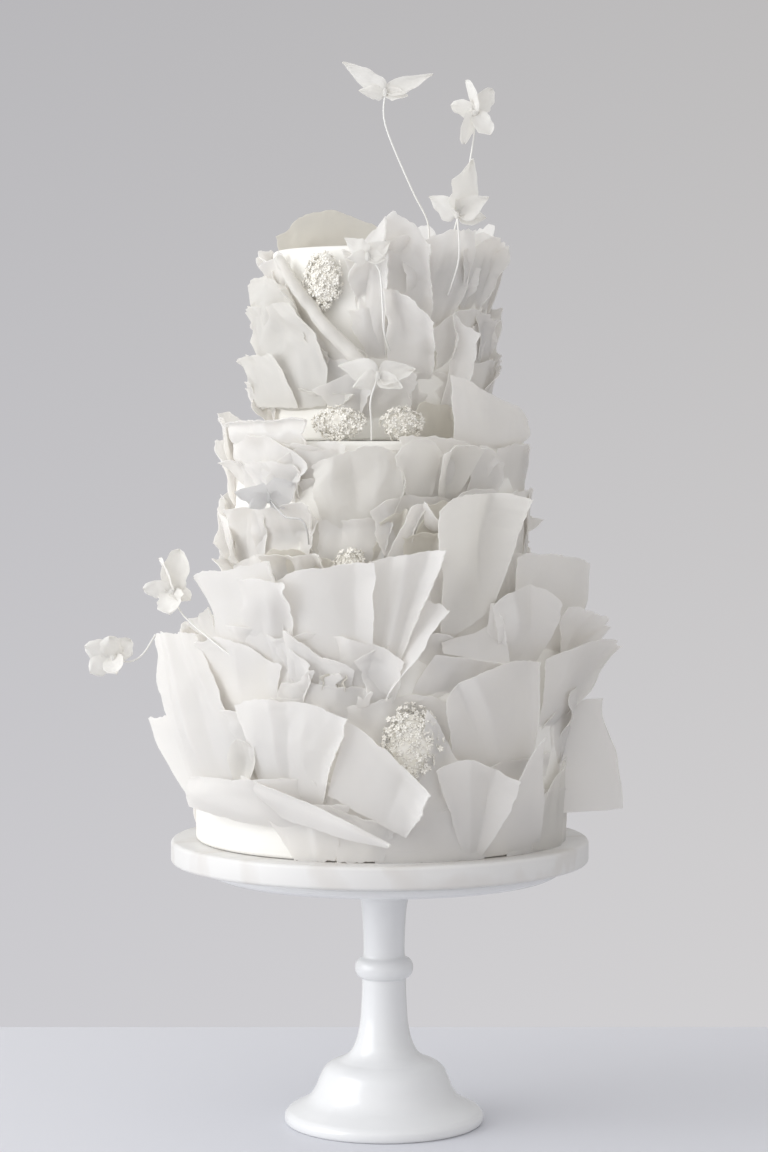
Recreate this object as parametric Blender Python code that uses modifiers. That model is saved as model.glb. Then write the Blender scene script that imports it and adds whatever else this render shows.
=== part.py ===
"""Three-tier wedding cake dressed with standing wafer paper sheets, on a board and a turned pedestal stand.

The origin is the centre of the flat underside of the stand's foot.
+X is the viewer's right, the front faces -Y and +Z is up. Lengths are metres.
"""
import math
import random

import bmesh
import bpy
from mathutils import Matrix, Vector

# Driving sizes in metres
FOOT_RADIUS = 0.0713
DISH_RADIUS = 0.127
DISH_BOTTOM = 0.178
DISH_TOP = 0.1884
BOARD_X = -0.003
BOARD_RADIUS = 0.149
BOARD_BOTTOM = 0.1887
BOARD_TOP = 0.205
BOTTOM = 0.131
MIDDLE = 0.103
TOP = 0.076
BOTTOM_TOP = 0.346
MIDDLE_TOP = 0.4877
TOP_TOP = 0.6215
GAP = 0.0003
BOARD_EDGE = 0.0025
ICING_EDGE = 0.003
WAFER_THICKNESS = 0.0009
PETAL_THICKNESS = 0.0008
WIRE_RADIUS = 0.0006
ROUND_STEPS = 26
TIER_STEPS = 40

for old in list(bpy.data.objects):
    bpy.data.objects.remove(old, do_unlink=True)

cake = bpy.data.collections.new("wedding_cake")
bpy.context.scene.collection.children.link(cake)
fused = bpy.data.collections.new("fused_sheets")
bpy.context.scene.collection.children.link(fused)


def surface(name, colour, roughness):
    material = bpy.data.materials.new(name)
    material.use_nodes = True
    shader = material.node_tree.nodes["Principled BSDF"]
    shader.inputs["Base Color"].default_value = (*colour, 1.0)
    shader.inputs["Roughness"].default_value = roughness
    shader.inputs["Metallic"].default_value = 0.0
    return material


WHITE_GLAZE = surface("white_glaze", (0.80, 0.80, 0.79), 0.16)
WASHED_BOARD = surface("washed_board", (0.66, 0.63, 0.58), 0.45)
ICING = surface("icing", (0.76, 0.74, 0.68), 0.55)
WAFER = surface("wafer_paper", (0.78, 0.77, 0.73), 0.70)
DRIED = surface("dried_flowers", (0.70, 0.66, 0.54), 0.85)
WING = surface("wing_paper", (0.66, 0.67, 0.66), 0.65)
WIRE = surface("white_wire", (0.62, 0.60, 0.56), 0.40)


def add_object(name, bm, material, collection=cake):
    bmesh.ops.recalc_face_normals(bm, faces=bm.faces)
    mesh = bpy.data.meshes.new(name)
    bm.to_mesh(mesh)
    bm.free()
    mesh.materials.append(material)
    made = bpy.data.objects.new(name, mesh)
    collection.objects.link(made)
    return made


def turned(name, profile, material):
    """Solid of revolution: the profile runs down its outer side from the top centre to the bottom centre."""
    mesh = bpy.data.meshes.new(name)
    edges = [(i, i + 1) for i in range(len(profile) - 1)]
    mesh.from_pydata([(radius, 0.0, height) for radius, height in profile], edges, [])
    mesh.materials.append(material)
    made = bpy.data.objects.new(name, mesh)
    cake.objects.link(made)
    screw = made.modifiers.new("turn", "SCREW")
    screw.steps = ROUND_STEPS
    screw.render_steps = ROUND_STEPS
    screw.use_merge_vertices = True
    screw.merge_threshold = 0.00001
    screw.use_normal_calculate = True
    return made


def disc(name, radius, bottom, top, edge, material):
    """Upright round slab centred on the board, with an eased edge."""
    bm = bmesh.new()
    middle = Matrix.Translation((BOARD_X, 0.0, (bottom + top) / 2.0))
    depth = top - bottom
    bmesh.ops.create_cone(
        bm, cap_ends=True, segments=TIER_STEPS, radius1=radius, radius2=radius, depth=depth, matrix=middle
    )
    rims = [e for e in bm.edges if abs(e.verts[0].co.z - e.verts[1].co.z) < 0.00001]
    bmesh.ops.bevel(bm, geom=rims, offset=edge, segments=1, affect="EDGES", profile=0.5)
    return add_object(name, bm, material)


def fuse(target, extras):
    """Joins the extra pieces to the target as one closed body."""
    for extra in extras:
        if extra.name not in fused.objects:
            cake.objects.unlink(extra)
            fused.objects.link(extra)
    union = target.modifiers.new("fuse", "BOOLEAN")
    union.operation = "UNION"
    union.operand_type = "COLLECTION"
    union.collection = fused
    union.solver = "EXACT"
    graph = bpy.context.evaluated_depsgraph_get()
    joined = bpy.data.meshes.new_from_object(target.evaluated_get(graph))
    target.modifiers.clear()
    target.data = joined
    for extra in list(fused.objects):
        bpy.data.objects.remove(extra, do_unlink=True)
    bm = bmesh.new()
    bm.from_mesh(joined)
    bmesh.ops.remove_doubles(bm, verts=bm.verts, dist=0.000005)
    bmesh.ops.dissolve_degenerate(bm, dist=0.000005, edges=bm.edges)
    bmesh.ops.triangulate(bm, faces=bm.faces)
    bm.to_mesh(joined)
    bm.free()


# Pedestal stand: one turned glazed piece, from the dish down to the foot
stand_profile = [
    (0.0, DISH_TOP),
    (0.122, DISH_TOP),
    (DISH_RADIUS, 0.1865),
    (DISH_RADIUS, 0.1835),
    (0.121, DISH_BOTTOM),
    (0.060, 0.1735),
    (0.024, 0.1690),
    (0.0162, 0.1580),
    (0.0147, 0.1240),
    (0.0158, 0.1190),
    (0.0208, 0.1114),
    (0.0158, 0.1035),
    (0.0163, 0.0860),
    (0.0185, 0.0660),
    (0.0237, 0.0515),
    (0.0330, 0.0440),
    (0.0420, 0.0420),
    (0.0460, 0.0340),
    (0.0520, 0.0195),
    (0.0590, 0.0140),
    (0.0680, 0.0105),
    (FOOT_RADIUS, 0.0070),
    (FOOT_RADIUS, 0.0),
    (0.0, 0.0),
]
turned("stand", stand_profile, WHITE_GLAZE)

# Thick round board under the cake
disc("board", BOARD_RADIUS, BOARD_BOTTOM, BOARD_TOP, BOARD_EDGE, WASHED_BOARD)

# Three iced tiers, each resting on the one below
tier_bottom = disc("tier_bottom", BOTTOM, BOARD_TOP + GAP, BOTTOM_TOP, ICING_EDGE, ICING)
tier_middle = disc("tier_middle", MIDDLE, BOTTOM_TOP + GAP, MIDDLE_TOP, ICING_EDGE, ICING)
tier_top = disc("tier_top", TOP, MIDDLE_TOP + GAP, TOP_TOP, ICING_EDGE, ICING)


def sheet_point(row, u, v):
    """A point of a wafer sheet: u runs left to right, v from the foot to the rim."""
    tier, foot_left, foot_right, rim_right, rim_left, more = row
    spread = v ** more.get("taper", 1.0)
    foot = [a + (b - a) * u for a, b in zip(foot_left, foot_right)]
    rim = [a + (b - a) * u for a, b in zip(rim_left, rim_right)]
    angle = foot[0] + (rim[0] - foot[0]) * spread
    height = foot[1] + (rim[1] - foot[1]) * v
    out = foot[2] + (rim[2] - foot[2]) * v
    side = 4.0 * v * (1.0 - v)
    angle += side * (more.get("left", 0.0) * (1.0 - u) + more.get("right", 0.0) * u)
    height += more.get("bow", 0.0) * 4.0 * u * (1.0 - u) * v
    out += more.get("belly", 0.0) * math.sin(math.pi * u) * math.sin(math.pi * v)
    out += more.get("shelf", 0.0) * side
    if "crease" in more:
        at_foot, at_rim, ridge = more["crease"]
        at = at_foot + (at_rim - at_foot) * v
        out += ridge * max(0.0, 1.0 - abs(u - at) / 0.22) * min(1.0, v * 2.5)
    if "folds" in more:
        count, depth = more["folds"]
        out += depth * math.sin(2.0 * math.pi * count * u) * v
    turn = math.radians(angle)
    reach = tier + out / 1000.0
    return (BOARD_X + reach * math.sin(turn), -reach * math.cos(turn), height / 1000.0)


def add_sheet(name, row, collection=cake):
    """Thin wavy solid with an even thickness, in rows and columns of small faces."""
    more = row[5]
    columns = 7 if "folds" in more else 5
    rows = 4
    if collection is fused:
        columns = 3
        rows = 3
    bm = bmesh.new()
    bmesh.ops.create_grid(bm, x_segments=columns, y_segments=rows, size=0.5)
    for vert in bm.verts:
        u = vert.co.x + 0.5
        v = vert.co.y + 0.5
        if "crease" in more:
            at_foot, at_rim, _ = more["crease"]
            at = at_foot + (at_rim - at_foot) * v
            nearest = min(range(1, columns), key=lambda i: abs(i / columns - at))
            if abs(u - nearest / columns) < 0.01:
                u = at
        vert.co = sheet_point(row, u, v)
    bmesh.ops.triangulate(bm, faces=bm.faces)
    sheet = add_object("sheet_" + name, bm, WAFER, collection)
    shell = sheet.modifiers.new("thickness", "SOLIDIFY")
    shell.thickness = WAFER_THICKNESS
    shell.offset = 0.0
    return sheet


# Standing wafer paper sheets. A corner is degrees round from the front, then height and stand-off in mm
SHEETS = {
    "tall_left": (BOTTOM, (-49, 333, 1), (-31, 335, 1), (-33, 407, 16), (-60, 397, 12),
     dict(left=-3, folds=(1.5, 1.5))),
    "tall_mid_left": (BOTTOM, (-29, 336, 1), (-5, 325, 1), (-3, 407, 16), (-37, 387, 6),
     dict(crease=(0.8, 0.84, 3), bow=4)),
    "tall_centre": (BOTTOM, (-2, 324, 1), (1, 324, 1), (15, 417, 18), (-5, 405, 7),
     dict(crease=(0.7, 0.75, 4), taper=0.7)),
    "cone_centre": (BOTTOM, (3, 320, 1), (2, 317, 9), (18, 378, 18), (10, 384, 4), dict(belly=-3)),
    "rolled_right": (BOTTOM, (31, 349, 1.5), (34, 349, 2.5), (50, 447, 10), (19, 438, 11),
     dict(taper=1.7, bow=8, crease=(0.6, 0.72, 4))),
    "flag_right": (BOTTOM, (46, 338, 1), (67, 338, 1), (77, 403, 20), (41, 410, 6), dict(bow=2)),
    "cup_right": (BOTTOM, (42, 331, 1), (52, 331, 1), (55, 384, 16), (35, 376, 13),
     dict(bow=9, belly=-1)),
    "lip_right": (BOTTOM, (8, 319, 1), (26, 322, 1), (34, 361, 7), (15, 351, 7), dict(shelf=10, right=5)),
    "wing_right": (BOTTOM, (58, 288, 1), (70, 289, 1), (90, 346, 36), (54, 343, 14), dict(bow=5)),
    "big_cup": (BOTTOM, (18, 271, 1), (47, 268, 1), (54, 339, 15), (17, 315, 13),
     dict(crease=(0.62, 0.22, 7), bow=6)),
    "scoop_front": (BOTTOM, (26, 206.5, 1), (30, 206.5, 1), (37, 261, 20), (18, 270, 15),
     dict(bow=9, taper=0.8)),
    "panel_front": (BOTTOM, (-1, 208, 1), (23, 208, 1), (22, 266, 8), (17, 304, 12), dict(left=2)),
    "edge_right": (BOTTOM, (33, 207, 1), (55, 207, 1), (50, 286, 18), (41, 258, 13), dict()),
    "skirt_right": (BOTTOM, (74, 227, 1), (90, 226, 45), (82, 306, 26), (80, 305, 1), dict()),
    "tall_far_left": (BOTTOM, (-78, 300, 14), (-52, 311, 1), (-69, 356, 9), (-90, 349, 28),
     dict(crease=(0.5, 0.3, 3))),
    "broad_far_left": (BOTTOM, (-79, 238, 16), (-54, 246, 1), (-48, 314, 10), (-90, 296, 33),
     dict(folds=(1.0, 2))),
    "swoop_left": (BOTTOM, (-62, 236, 20), (-22, 225, 2), (-26, 260, 8), (-58, 259, 22), dict(belly=5)),
    "tongue": (BOTTOM, (-27, 234, 9), (2, 218, 21), (3, 221, 22), (-33, 266, 14), dict(bow=6)),
    "folded_left": (BOTTOM, (-37, 266, 1), (-14, 252, 3), (-7, 304, 19), (-42, 320, 10),
     dict(crease=(0.45, 0.4, 5), bow=4)),
    "kite_front": (BOTTOM, (-12, 248, 1), (6, 225, 10), (11, 258, 24), (-6, 300, 13), dict(bow=2)),
    "small_diagonal": (BOTTOM, (-26, 330, 1), (-15, 324, 1), (-10, 347, 15), (-27, 361, 14), dict()),
    "ledge_left": (MIDDLE, (-60, 478, 1), (-30, 478, 1), (-28, 503, 8), (-70, 500, 12), dict(bow=2)),
    "white_left": (MIDDLE, (-50, 450, 1), (-33, 446, 1), (-32, 475, 6), (-58, 476, 6), dict()),
    "pale_low_left": (MIDDLE, (-64, 402, 1), (-30, 400, 1), (-26, 443, 12), (-59, 441, 15),
     dict(left=-6)),
    "ruffle_left": (MIDDLE, (-38, 378, 1), (-20, 380, 1), (-19, 414, 22), (-41, 408, 20),
     dict(folds=(2, 3))),
    "big_centre": (MIDDLE, (-21, 415, 1), (8, 445, 1), (4, 474, 11), (-26, 467, 8), dict(bow=12)),
    "grey_cup": (MIDDLE, (12, 444, 1), (17, 444, 1), (21, 474, 16), (4, 478, 16), dict(bow=6, taper=0.8)),
    "folded_cup": (MIDDLE, (22, 444, 1.2), (26, 444, 1), (36, 486, 14), (22, 478, 19), dict(bow=-2)),
    "pale_right": (MIDDLE, (28, 440, 1), (42, 440, 1), (48, 473, 6), (33, 479, 4), dict(right=2)),
    "ledge_right": (MIDDLE, (32, 481, 1), (68, 479, 1), (66, 506, 8), (30, 531, 2), dict(bow=2)),
    "ruffle_right": (MIDDLE, (17, 420, 1), (27, 424, 1), (31, 439, 15), (16, 440, 16),
     dict(folds=(2, 4))),
    "band_centre": (MIDDLE, (-1, 392, 1), (9, 392, 1), (19, 424, 12), (13, 446, 19), dict()),
    "top_left_big": (TOP, (-80, 508, 14), (-30, 508, 1), (-42, 584, 15), (-73, 606, 14),
     dict(left=-8, right=10)),
    "top_roll": (TOP, (-50, 580, 1.2), (-24, 530, 1.2), (-3, 540, 12), (-50, 612, 4), dict(belly=3)),
    "top_low_fold": (TOP, (-52, 500, 8), (-20, 503, 1.2), (-6, 536, 19), (-47, 526, 20), dict(bow=-5)),
    "top_tall_left": (TOP, (-4, 540, 1), (3, 540, 1), (0, 636, 7), (-18, 618, 3), dict(bow=-8)),
    "top_tall_centre": (TOP, (5, 550, 1), (25, 550, 1), (21, 626, 12), (3, 642, 10), dict(bow=4)),
    "top_low_centre": (TOP, (7, 530, 2), (26, 530, 2), (21, 572, 18), (2, 594, 15), dict(bow=2)),
    "top_fin_right": (TOP, (27, 565, 1), (34, 565, 3), (45, 638, 14), (24, 625, 5),
     dict(right=5, taper=0.8)),
    "top_far_right": (TOP, (49, 577, 1), (62, 577, 1), (86, 630, 10), (53, 632, 3), dict()),
    "top_ribbon": (TOP, (25, 500, 4), (35, 500, 8), (41, 567, 18), (24, 546, 10), dict(right=2)),
}
for sheet_name, sheet_row in SHEETS.items():
    add_sheet(sheet_name, sheet_row)

# Smaller and half hidden sheets, stuck down along the foot and fused with their tier
STUCK_BOTTOM = {
    "back_panel": (BOTTOM, (17, 335, -2), (32, 335, -2), (35, 391, 5), (15, 414, 5), dict()),
    "far_wing": (BOTTOM, (72, 318, -2), (88, 318, -2), (90, 358, 36), (61, 374, 20), dict()),
    "gap_left": (BOTTOM, (-69, 335, -2), (-54, 335, -2), (-60, 373, 4), (-69, 363, 8), dict()),
    "hollow_left": (BOTTOM, (-62, 240, -2), (-36, 240, -2), (-40, 310, 3), (-50, 306, 2), dict()),
    "foot_left": (BOTTOM, (-22, 207, -2), (-17, 207, -2), (-12, 222, 4), (-26, 222, 4), dict()),
    "foot_mid": (BOTTOM, (-11, 207, -2), (-5, 207, -2), (-1, 221, 4), (-10, 222, 5), dict()),
    "curl_a": (BOTTOM, (-14, 317, -2), (-12.5, 321, -2), (-15, 337, 18), (-22, 319, 14), dict()),
    "curl_b": (BOTTOM, (-11, 308, -2), (-8, 306, -2), (-9, 330, 12), (-16, 328, 12), dict()),
    "curl_c": (BOTTOM, (-6, 315, -2), (-3, 317, -2), (-5, 306, 21), (-7, 306, 20), dict()),
}
STUCK_MIDDLE = {
    "lobe_left": (MIDDLE, (-68, 455, -2), (-60, 452, -2), (-60, 475, 6), (-66, 472, 14), dict()),
    "strip_left": (MIDDLE, (-30, 405, -2), (-24, 403, -2), (-22, 462, 4), (-30, 460, 3), dict()),
}
STUCK_TOP = {
    "top_edge_left": (TOP, (-80, 575, -2), (-54, 560, -2), (-55, 623, 4), (-67, 611, 8), dict()),
    "top_low_right": (TOP, (55, 520, -2), (84, 520, -2), (88, 572, 6), (56, 571, 3), dict()),
    "top_back_left": (TOP, (-178, 600, -2), (-118, 600, -2), (-120, 640, 3), (-178, 648, 3),
     dict(bow=10)),
    "top_back_right": (TOP, (95, 600, -2), (130, 600, -2), (135, 650, 5), (93, 648, 7), dict(bow=4)),
    "top_back_mid": (TOP, (140, 600, -2), (175, 600, -2), (178, 650, 4), (138, 652, 4), dict(bow=4)),
}


def back_sheets(prefix, tier, levels, count, start, end, seed):
    """Rows of sheets round the back of a tier, uneven in height and lean."""
    chance = random.Random(seed)
    found = {}
    width = (end - start) / count
    for level, (foot, rim, reach) in enumerate(levels):
        for i in range(count):
            left = start + width * (i + 0.25 * level) + chance.uniform(0.0, 3.0)
            right = left + width * chance.uniform(0.62, 0.78)
            lean = chance.uniform(-6.0, 6.0)
            flare = chance.uniform(0.05, 0.12) * width
            top_left = rim + chance.uniform(-12.0, 6.0)
            top_right = rim + chance.uniform(-12.0, 6.0)
            found["%s_%d_%d" % (prefix, level, i)] = (
                tier,
                (left, foot, -2),
                (right, foot, -2),
                (right + flare + lean, top_right, reach + chance.uniform(-3.0, 6.0)),
                (left - flare + lean, top_left, reach + chance.uniform(-3.0, 6.0)),
                dict(bow=chance.uniform(0.0, 6.0)),
            )
    return found


STUCK_BOTTOM.update(back_sheets("low_back", BOTTOM, ((209, 282, 10), (292, 366, 9)), 4, 98, 262, 5))
STUCK_MIDDLE.update(back_sheets("mid_back", MIDDLE, ((402, 446, 9), (452, 500, 8)), 3, 84, 282, 6))
STUCK_TOP.update(back_sheets("high_back", TOP, ((500, 585, 8),), 4, 98, 262, 7))

for tier_body, stuck in ((tier_bottom, STUCK_BOTTOM), (tier_middle, STUCK_MIDDLE), (tier_top, STUCK_TOP)):
    fuse(tier_body, [add_sheet(stuck_name, stuck_row, fused) for stuck_name, stuck_row in stuck.items()])


def add_cluster(name, tier, angle, height, out, half, seed):
    """Lumpy bunch of tiny dried flower heads: a rounded body with an uneven skin."""
    chance = random.Random(seed)
    bm = bmesh.new()
    bmesh.ops.create_uvsphere(bm, u_segments=10, v_segments=7, radius=1.0)
    turn = math.radians(angle)
    reach = tier + out / 1000.0
    centre = Vector((BOARD_X + reach * math.sin(turn), -reach * math.cos(turn), height / 1000.0))
    facing = Matrix.Rotation(turn, 3, "Z")
    for vert in bm.verts:
        bump = chance.uniform(0.80, 1.0)
        local = Vector((vert.co.x * half[0], vert.co.y * half[1], vert.co.z * half[2])) * bump / 1000.0
        if vert.co.z < 0.0:
            local.x *= 1.0 + 0.35 * vert.co.z
        vert.co = centre + facing @ local
    bmesh.ops.triangulate(bm, faces=bm.faces)
    return add_object(name, bm, DRIED)


# Bunches of tiny dried flowers tucked between the sheets
add_cluster("flowers_top", TOP, -29, 598, 5, (12, 4.5, 16), 11)
add_cluster("flowers_ledge_left", TOP, -16.5, 499.2, 19, (19, 7, 11.5), 12)
add_cluster("flowers_ledge_mid", TOP, 9.5, 498.8, 19, (15, 7, 11.5), 13)
add_cluster("flowers_middle", MIDDLE, -10, 403, 8.5, (12, 8, 12), 14)
add_cluster("flowers_pocket", BOTTOM, 7, 286, 5.5, (14, 5.5, 23), 15)


def add_petal(length, width, turn, lift, roll, centre):
    """Thin eight-sided oval that starts at the centre and points along its own turn and lift."""
    bm = bmesh.new()
    ahead = Matrix.Translation((0.46, 0.0, 0.0))
    bmesh.ops.create_cone(
        bm, cap_ends=True, segments=8, radius1=0.5, radius2=0.5, depth=PETAL_THICKNESS, matrix=ahead
    )
    for vert in bm.verts:
        vert.co.x *= length / 1000.0
        vert.co.y *= width / 1000.0
    place = Matrix.Rotation(math.radians(turn), 4, "Z")
    place @= Matrix.Rotation(math.radians(-lift), 4, "Y")
    place @= Matrix.Rotation(math.radians(roll), 4, "X")
    bm.transform(Matrix.Translation(centre) @ place)
    return add_object("petal", bm, WING, fused)


def add_spray(name, centre, petals, wire_path, body=(2.2, 2.2, 4.0)):
    """Paper wings or petals on a small body, carried by one bent wire."""
    middle = Vector(centre) / 1000.0
    bm = bmesh.new()
    bmesh.ops.create_uvsphere(bm, u_segments=6, v_segments=4, radius=1.0)
    for vert in bm.verts:
        vert.co = middle + Vector((vert.co.x * body[0], vert.co.y * body[1], vert.co.z * body[2])) / 1000.0
    head = add_object(name, bm, WING)
    pieces = [add_petal(*petal, middle) for petal in petals]
    curve = bpy.data.curves.new(name + "_wire", "CURVE")
    curve.dimensions = "3D"
    curve.bevel_depth = WIRE_RADIUS
    curve.bevel_resolution = 1
    curve.use_fill_caps = True
    line = curve.splines.new("POLY")
    points = [centre] + list(wire_path)
    line.points.add(len(points) - 1)
    for point, place in zip(line.points, points):
        point.co = (place[0] / 1000.0, place[1] / 1000.0, place[2] / 1000.0, 1.0)
    carrier = bpy.data.objects.new(name + "_curve", curve)
    cake.objects.link(carrier)
    graph = bpy.context.evaluated_depsgraph_get()
    tube = bpy.data.meshes.new_from_object(carrier.evaluated_get(graph))
    bpy.data.objects.remove(carrier, do_unlink=True)
    bm = bmesh.new()
    bm.from_mesh(tube)
    bmesh.ops.remove_doubles(bm, verts=bm.verts, dist=0.00001)
    pieces.append(add_object(name + "_stem", bm, WIRE, fused))
    fuse(head, pieces)
    return head


# Paper butterflies and blossoms on wires. A petal is length, width, turn, lift and roll; points are in mm
add_spray(
    "butterfly_crown",
    (1, -58, 727),
    [(38, 20, 178, 34, 66), (38, 17, 4, 22, 70), (20, 13, -8, -8, 76), (22, 13, 186, 6, 76)],
    [(1, -56, 705), (19, -51, 662), (30, -48, 640), (31, -47, 621.9)],
)
add_spray(
    "butterfly_crown_right",
    (51, -74, 646),
    [(36, 20, 20, 68, 80), (26, 18, 172, 36, 74), (26, 15, 4, 24, 72), (18, 12, 186, 0, 76)],
    [(51, -78, 612), (43.9, -67.2, 588)],
    (2.2, 2.2, 3.4),
)
add_spray(
    "blossom_crown",
    (65, 18, 722),
    [(24, 18, 100, 60, 30), (26, 18, 20, 40, 60), (26, 18, 170, 34, 60),
     (24, 17, 250, 30, 20), (22, 17, 320, 46, 40)],
    [(64, 18, 704), (58, 18, 670), (46, 16, 621.9)],
    (3.0, 3.0, 3.0),
)
add_spray(
    "butterfly_top_front",
    (-11, -98, 612),
    [(22, 15, 170, 40, 74), (20, 14, 10, 34, 74), (15, 10, 188, -4, 78), (14, 10, -6, -6, 78)],
    [(-3, -98, 602), (-1, -97, 580), (0, -95, 562), (4, -81, 549)],
)
add_spray(
    "butterfly_low_top",
    (-4, -110, 531),
    [(30, 19, 172, 16, 70), (28, 18, 6, 12, 72), (20, 13, 190, -22, 74), (20, 13, -10, -24, 74)],
    [(-9, -108, 515), (-8.5, -100, 500), (-8.5, -97, 488.2)],
)
add_spray(
    "butterfly_middle",
    (-78, -105, 449),
    [(27, 18, 205, 10, 66), (25, 22, 32, 26, 70), (18, 14, 212, -20, 72), (17, 13, 24, -18, 72)],
    [(-67, -111, 437), (-56, -114, 435), (-52, -112, 428), (-51, -99.5, 418)],
)
add_spray(
    "blossom_left",
    (-146, -66, 384),
    [(24, 20, 90, 64, 20), (26, 19, 190, 30, 62), (24, 18, 10, 46, 60),
     (22, 18, 265, 40, 10), (20, 18, 300, -46, 30)],
    [(-138, -72, 368), (-116, -86, 350), (-98, -94.5, 337)],
    (3.0, 3.0, 3.0),
)
add_spray(
    "blossom_far_left",
    (-192, -8, 334),
    [(24, 18, 185, 24, 66), (22, 18, 170, -30, 66), (20, 16, 30, 44, 60),
     (20, 16, 255, 60, 20), (20, 16, 280, -30, 30)],
    [(-182, -6, 331), (-172, -4, 336), (-162.9, -1, 350.2)],
    (3.0, 3.0, 3.0),
)
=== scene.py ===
"""Looks of a three-tier wedding cake in torn wafer paper, on a board and a white pedestal stand.

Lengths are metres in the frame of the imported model; sizes written in millimetres say so.
"""

import math
import random

import bmesh
import bpy
from mathutils import Matrix, Vector, noise


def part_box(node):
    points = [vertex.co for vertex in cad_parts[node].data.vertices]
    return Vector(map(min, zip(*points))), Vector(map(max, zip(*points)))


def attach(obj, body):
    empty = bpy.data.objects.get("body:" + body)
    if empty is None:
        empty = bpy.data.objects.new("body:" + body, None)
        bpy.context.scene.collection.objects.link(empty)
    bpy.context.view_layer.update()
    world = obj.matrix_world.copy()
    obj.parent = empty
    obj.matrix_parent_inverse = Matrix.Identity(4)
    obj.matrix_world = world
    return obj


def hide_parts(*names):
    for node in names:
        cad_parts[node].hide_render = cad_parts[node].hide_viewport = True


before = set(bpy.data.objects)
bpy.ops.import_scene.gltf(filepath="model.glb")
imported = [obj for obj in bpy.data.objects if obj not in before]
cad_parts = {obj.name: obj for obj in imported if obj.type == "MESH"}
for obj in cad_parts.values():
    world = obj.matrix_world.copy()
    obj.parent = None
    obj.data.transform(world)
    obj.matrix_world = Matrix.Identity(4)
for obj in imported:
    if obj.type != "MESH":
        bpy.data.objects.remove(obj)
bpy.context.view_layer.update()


# Pedestal stand
# White glazed stoneware, turned in one piece: a flat dish on a slim stem with one ring, over a bell foot.
# It carries the board on its dish and stands on the flat rim of its foot.
def smooth_run(points, steps):
    """Points of a soft curve through the given ones, with so many steps between neighbours."""
    ends = [points[0]] + list(points) + [points[-1]]
    run = []
    for before, start, end, after in zip(ends, ends[1:], ends[2:], ends[3:]):
        for step in range(steps):
            t = step / steps
            run.append(tuple(
                0.5 * (2 * b + (c - a) * t + (2 * a - 5 * b + 4 * c - d) * t ** 2
                       + (3 * b - a - 3 * c + d) * t ** 3)
                for a, b, c, d in zip(before, start, end, after)
            ))
    run.append(tuple(points[-1]))
    return run


def plain_material(name, colour, roughness):
    """A material with its shader's own colour and roughness, and its node tree ready for more."""
    material = bpy.data.materials.new(name)
    material.use_nodes = True
    shader = material.node_tree.nodes["Principled BSDF"]
    shader.inputs["Base Color"].default_value = (*colour, 1.0)
    shader.inputs["Roughness"].default_value = roughness
    return material, shader


def add_node(material, kind, place=None, **values):
    """A new node in a material, with its inputs set by name."""
    node = material.node_tree.nodes.new(kind)
    for name, value in values.items():
        node.inputs[name.replace("_", " ")].default_value = value
    if place is not None:
        material.node_tree.links.new(place, node.inputs["Vector"])
    return node


def object_place(material):
    """The socket that gives a point's place on the piece."""
    return material.node_tree.nodes.new("ShaderNodeTexCoord").outputs["Object"]


def link(material, output, socket):
    material.node_tree.links.new(output, socket)


def tint_by(material, amount, dark, light, shader):
    """Colours a shader with a blend of two colours, by a socket's value."""
    mix = material.node_tree.nodes.new("ShaderNodeMix")
    mix.data_type = "RGBA"
    mix.inputs["A"].default_value = (*dark, 1.0)
    mix.inputs["B"].default_value = (*light, 1.0)
    link(material, amount, mix.inputs["Factor"])
    link(material, mix.outputs["Result"], shader.inputs["Base Color"])


def bumped(material, height, strength, distance, shader):
    """Lets a socket's value raise the surface by up to the distance in metres."""
    bump = add_node(material, "ShaderNodeBump", Strength=strength, Distance=distance)
    link(material, height, bump.inputs["Height"])
    link(material, bump.outputs["Normal"], shader.inputs["Normal"])
    return bump


def finish_piece(name, bm, material, nodes=()):
    """Makes the piece's object, and says what it rides on, what it is made of and what it stands for."""
    mesh = bpy.data.meshes.new(name)
    bm.to_mesh(mesh)
    bm.free()
    mesh.materials.append(material)
    mesh.shade_smooth()
    piece = bpy.data.objects.new(name, mesh)
    bpy.context.scene.collection.objects.link(piece)
    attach(piece, "root")
    if nodes:
        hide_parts(*nodes)
    return piece


def turned(profile, steps):
    """Spins an outline of radius and height in millimetres once round the upright axis."""
    bm = bmesh.new()
    verts = [bm.verts.new((radius / 1000.0, 0.0, height / 1000.0)) for radius, height in profile]
    edges = [bm.edges.new(pair) for pair in zip(verts, verts[1:])]
    bmesh.ops.spin(
        bm, geom=verts + edges, axis=(0, 0, 1), cent=(0, 0, 0), angle=2.0 * math.pi, steps=steps,
        use_merge=True
    )
    bmesh.ops.remove_doubles(bm, verts=bm.verts, dist=0.000001)
    bmesh.ops.recalc_face_normals(bm, faces=bm.faces)
    return bm


DISH_RIM = [(121.5, 188.4), (124.6, 188.0), (126.6, 186.2), (127.0, 184.0), (125.4, 181.2), (121.0, 179.0)]
DISH_UNDERSIDE = [(121.0, 179.0), (96.0, 176.6), (60.0, 173.9), (34.0, 171.2), (23.0, 167.6), (17.6, 161.6)]
STEM_TOP = [(17.6, 161.6), (16.2, 154.0), (15.3, 142.0), (14.8, 128.0), (14.9, 119.4)]
STEM_RING = [(15.8, 118.9), (19.0, 117.0), (20.7, 113.6), (20.7, 109.4), (19.0, 105.8), (16.0, 103.8)]
STEM_FOOT = [
    (15.8, 103.2), (15.9, 95.0), (16.3, 86.0), (17.3, 72.0), (20.1, 58.7), (25.0, 49.8), (31.2, 45.6)
]
FOOT_BELL = [
    (32.6, 44.9), (37.7, 42.9), (42.4, 39.4), (46.0, 33.0),
    (49.6, 24.4), (54.6, 17.6), (62.2, 13.0), (68.4, 9.6),
]
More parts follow.
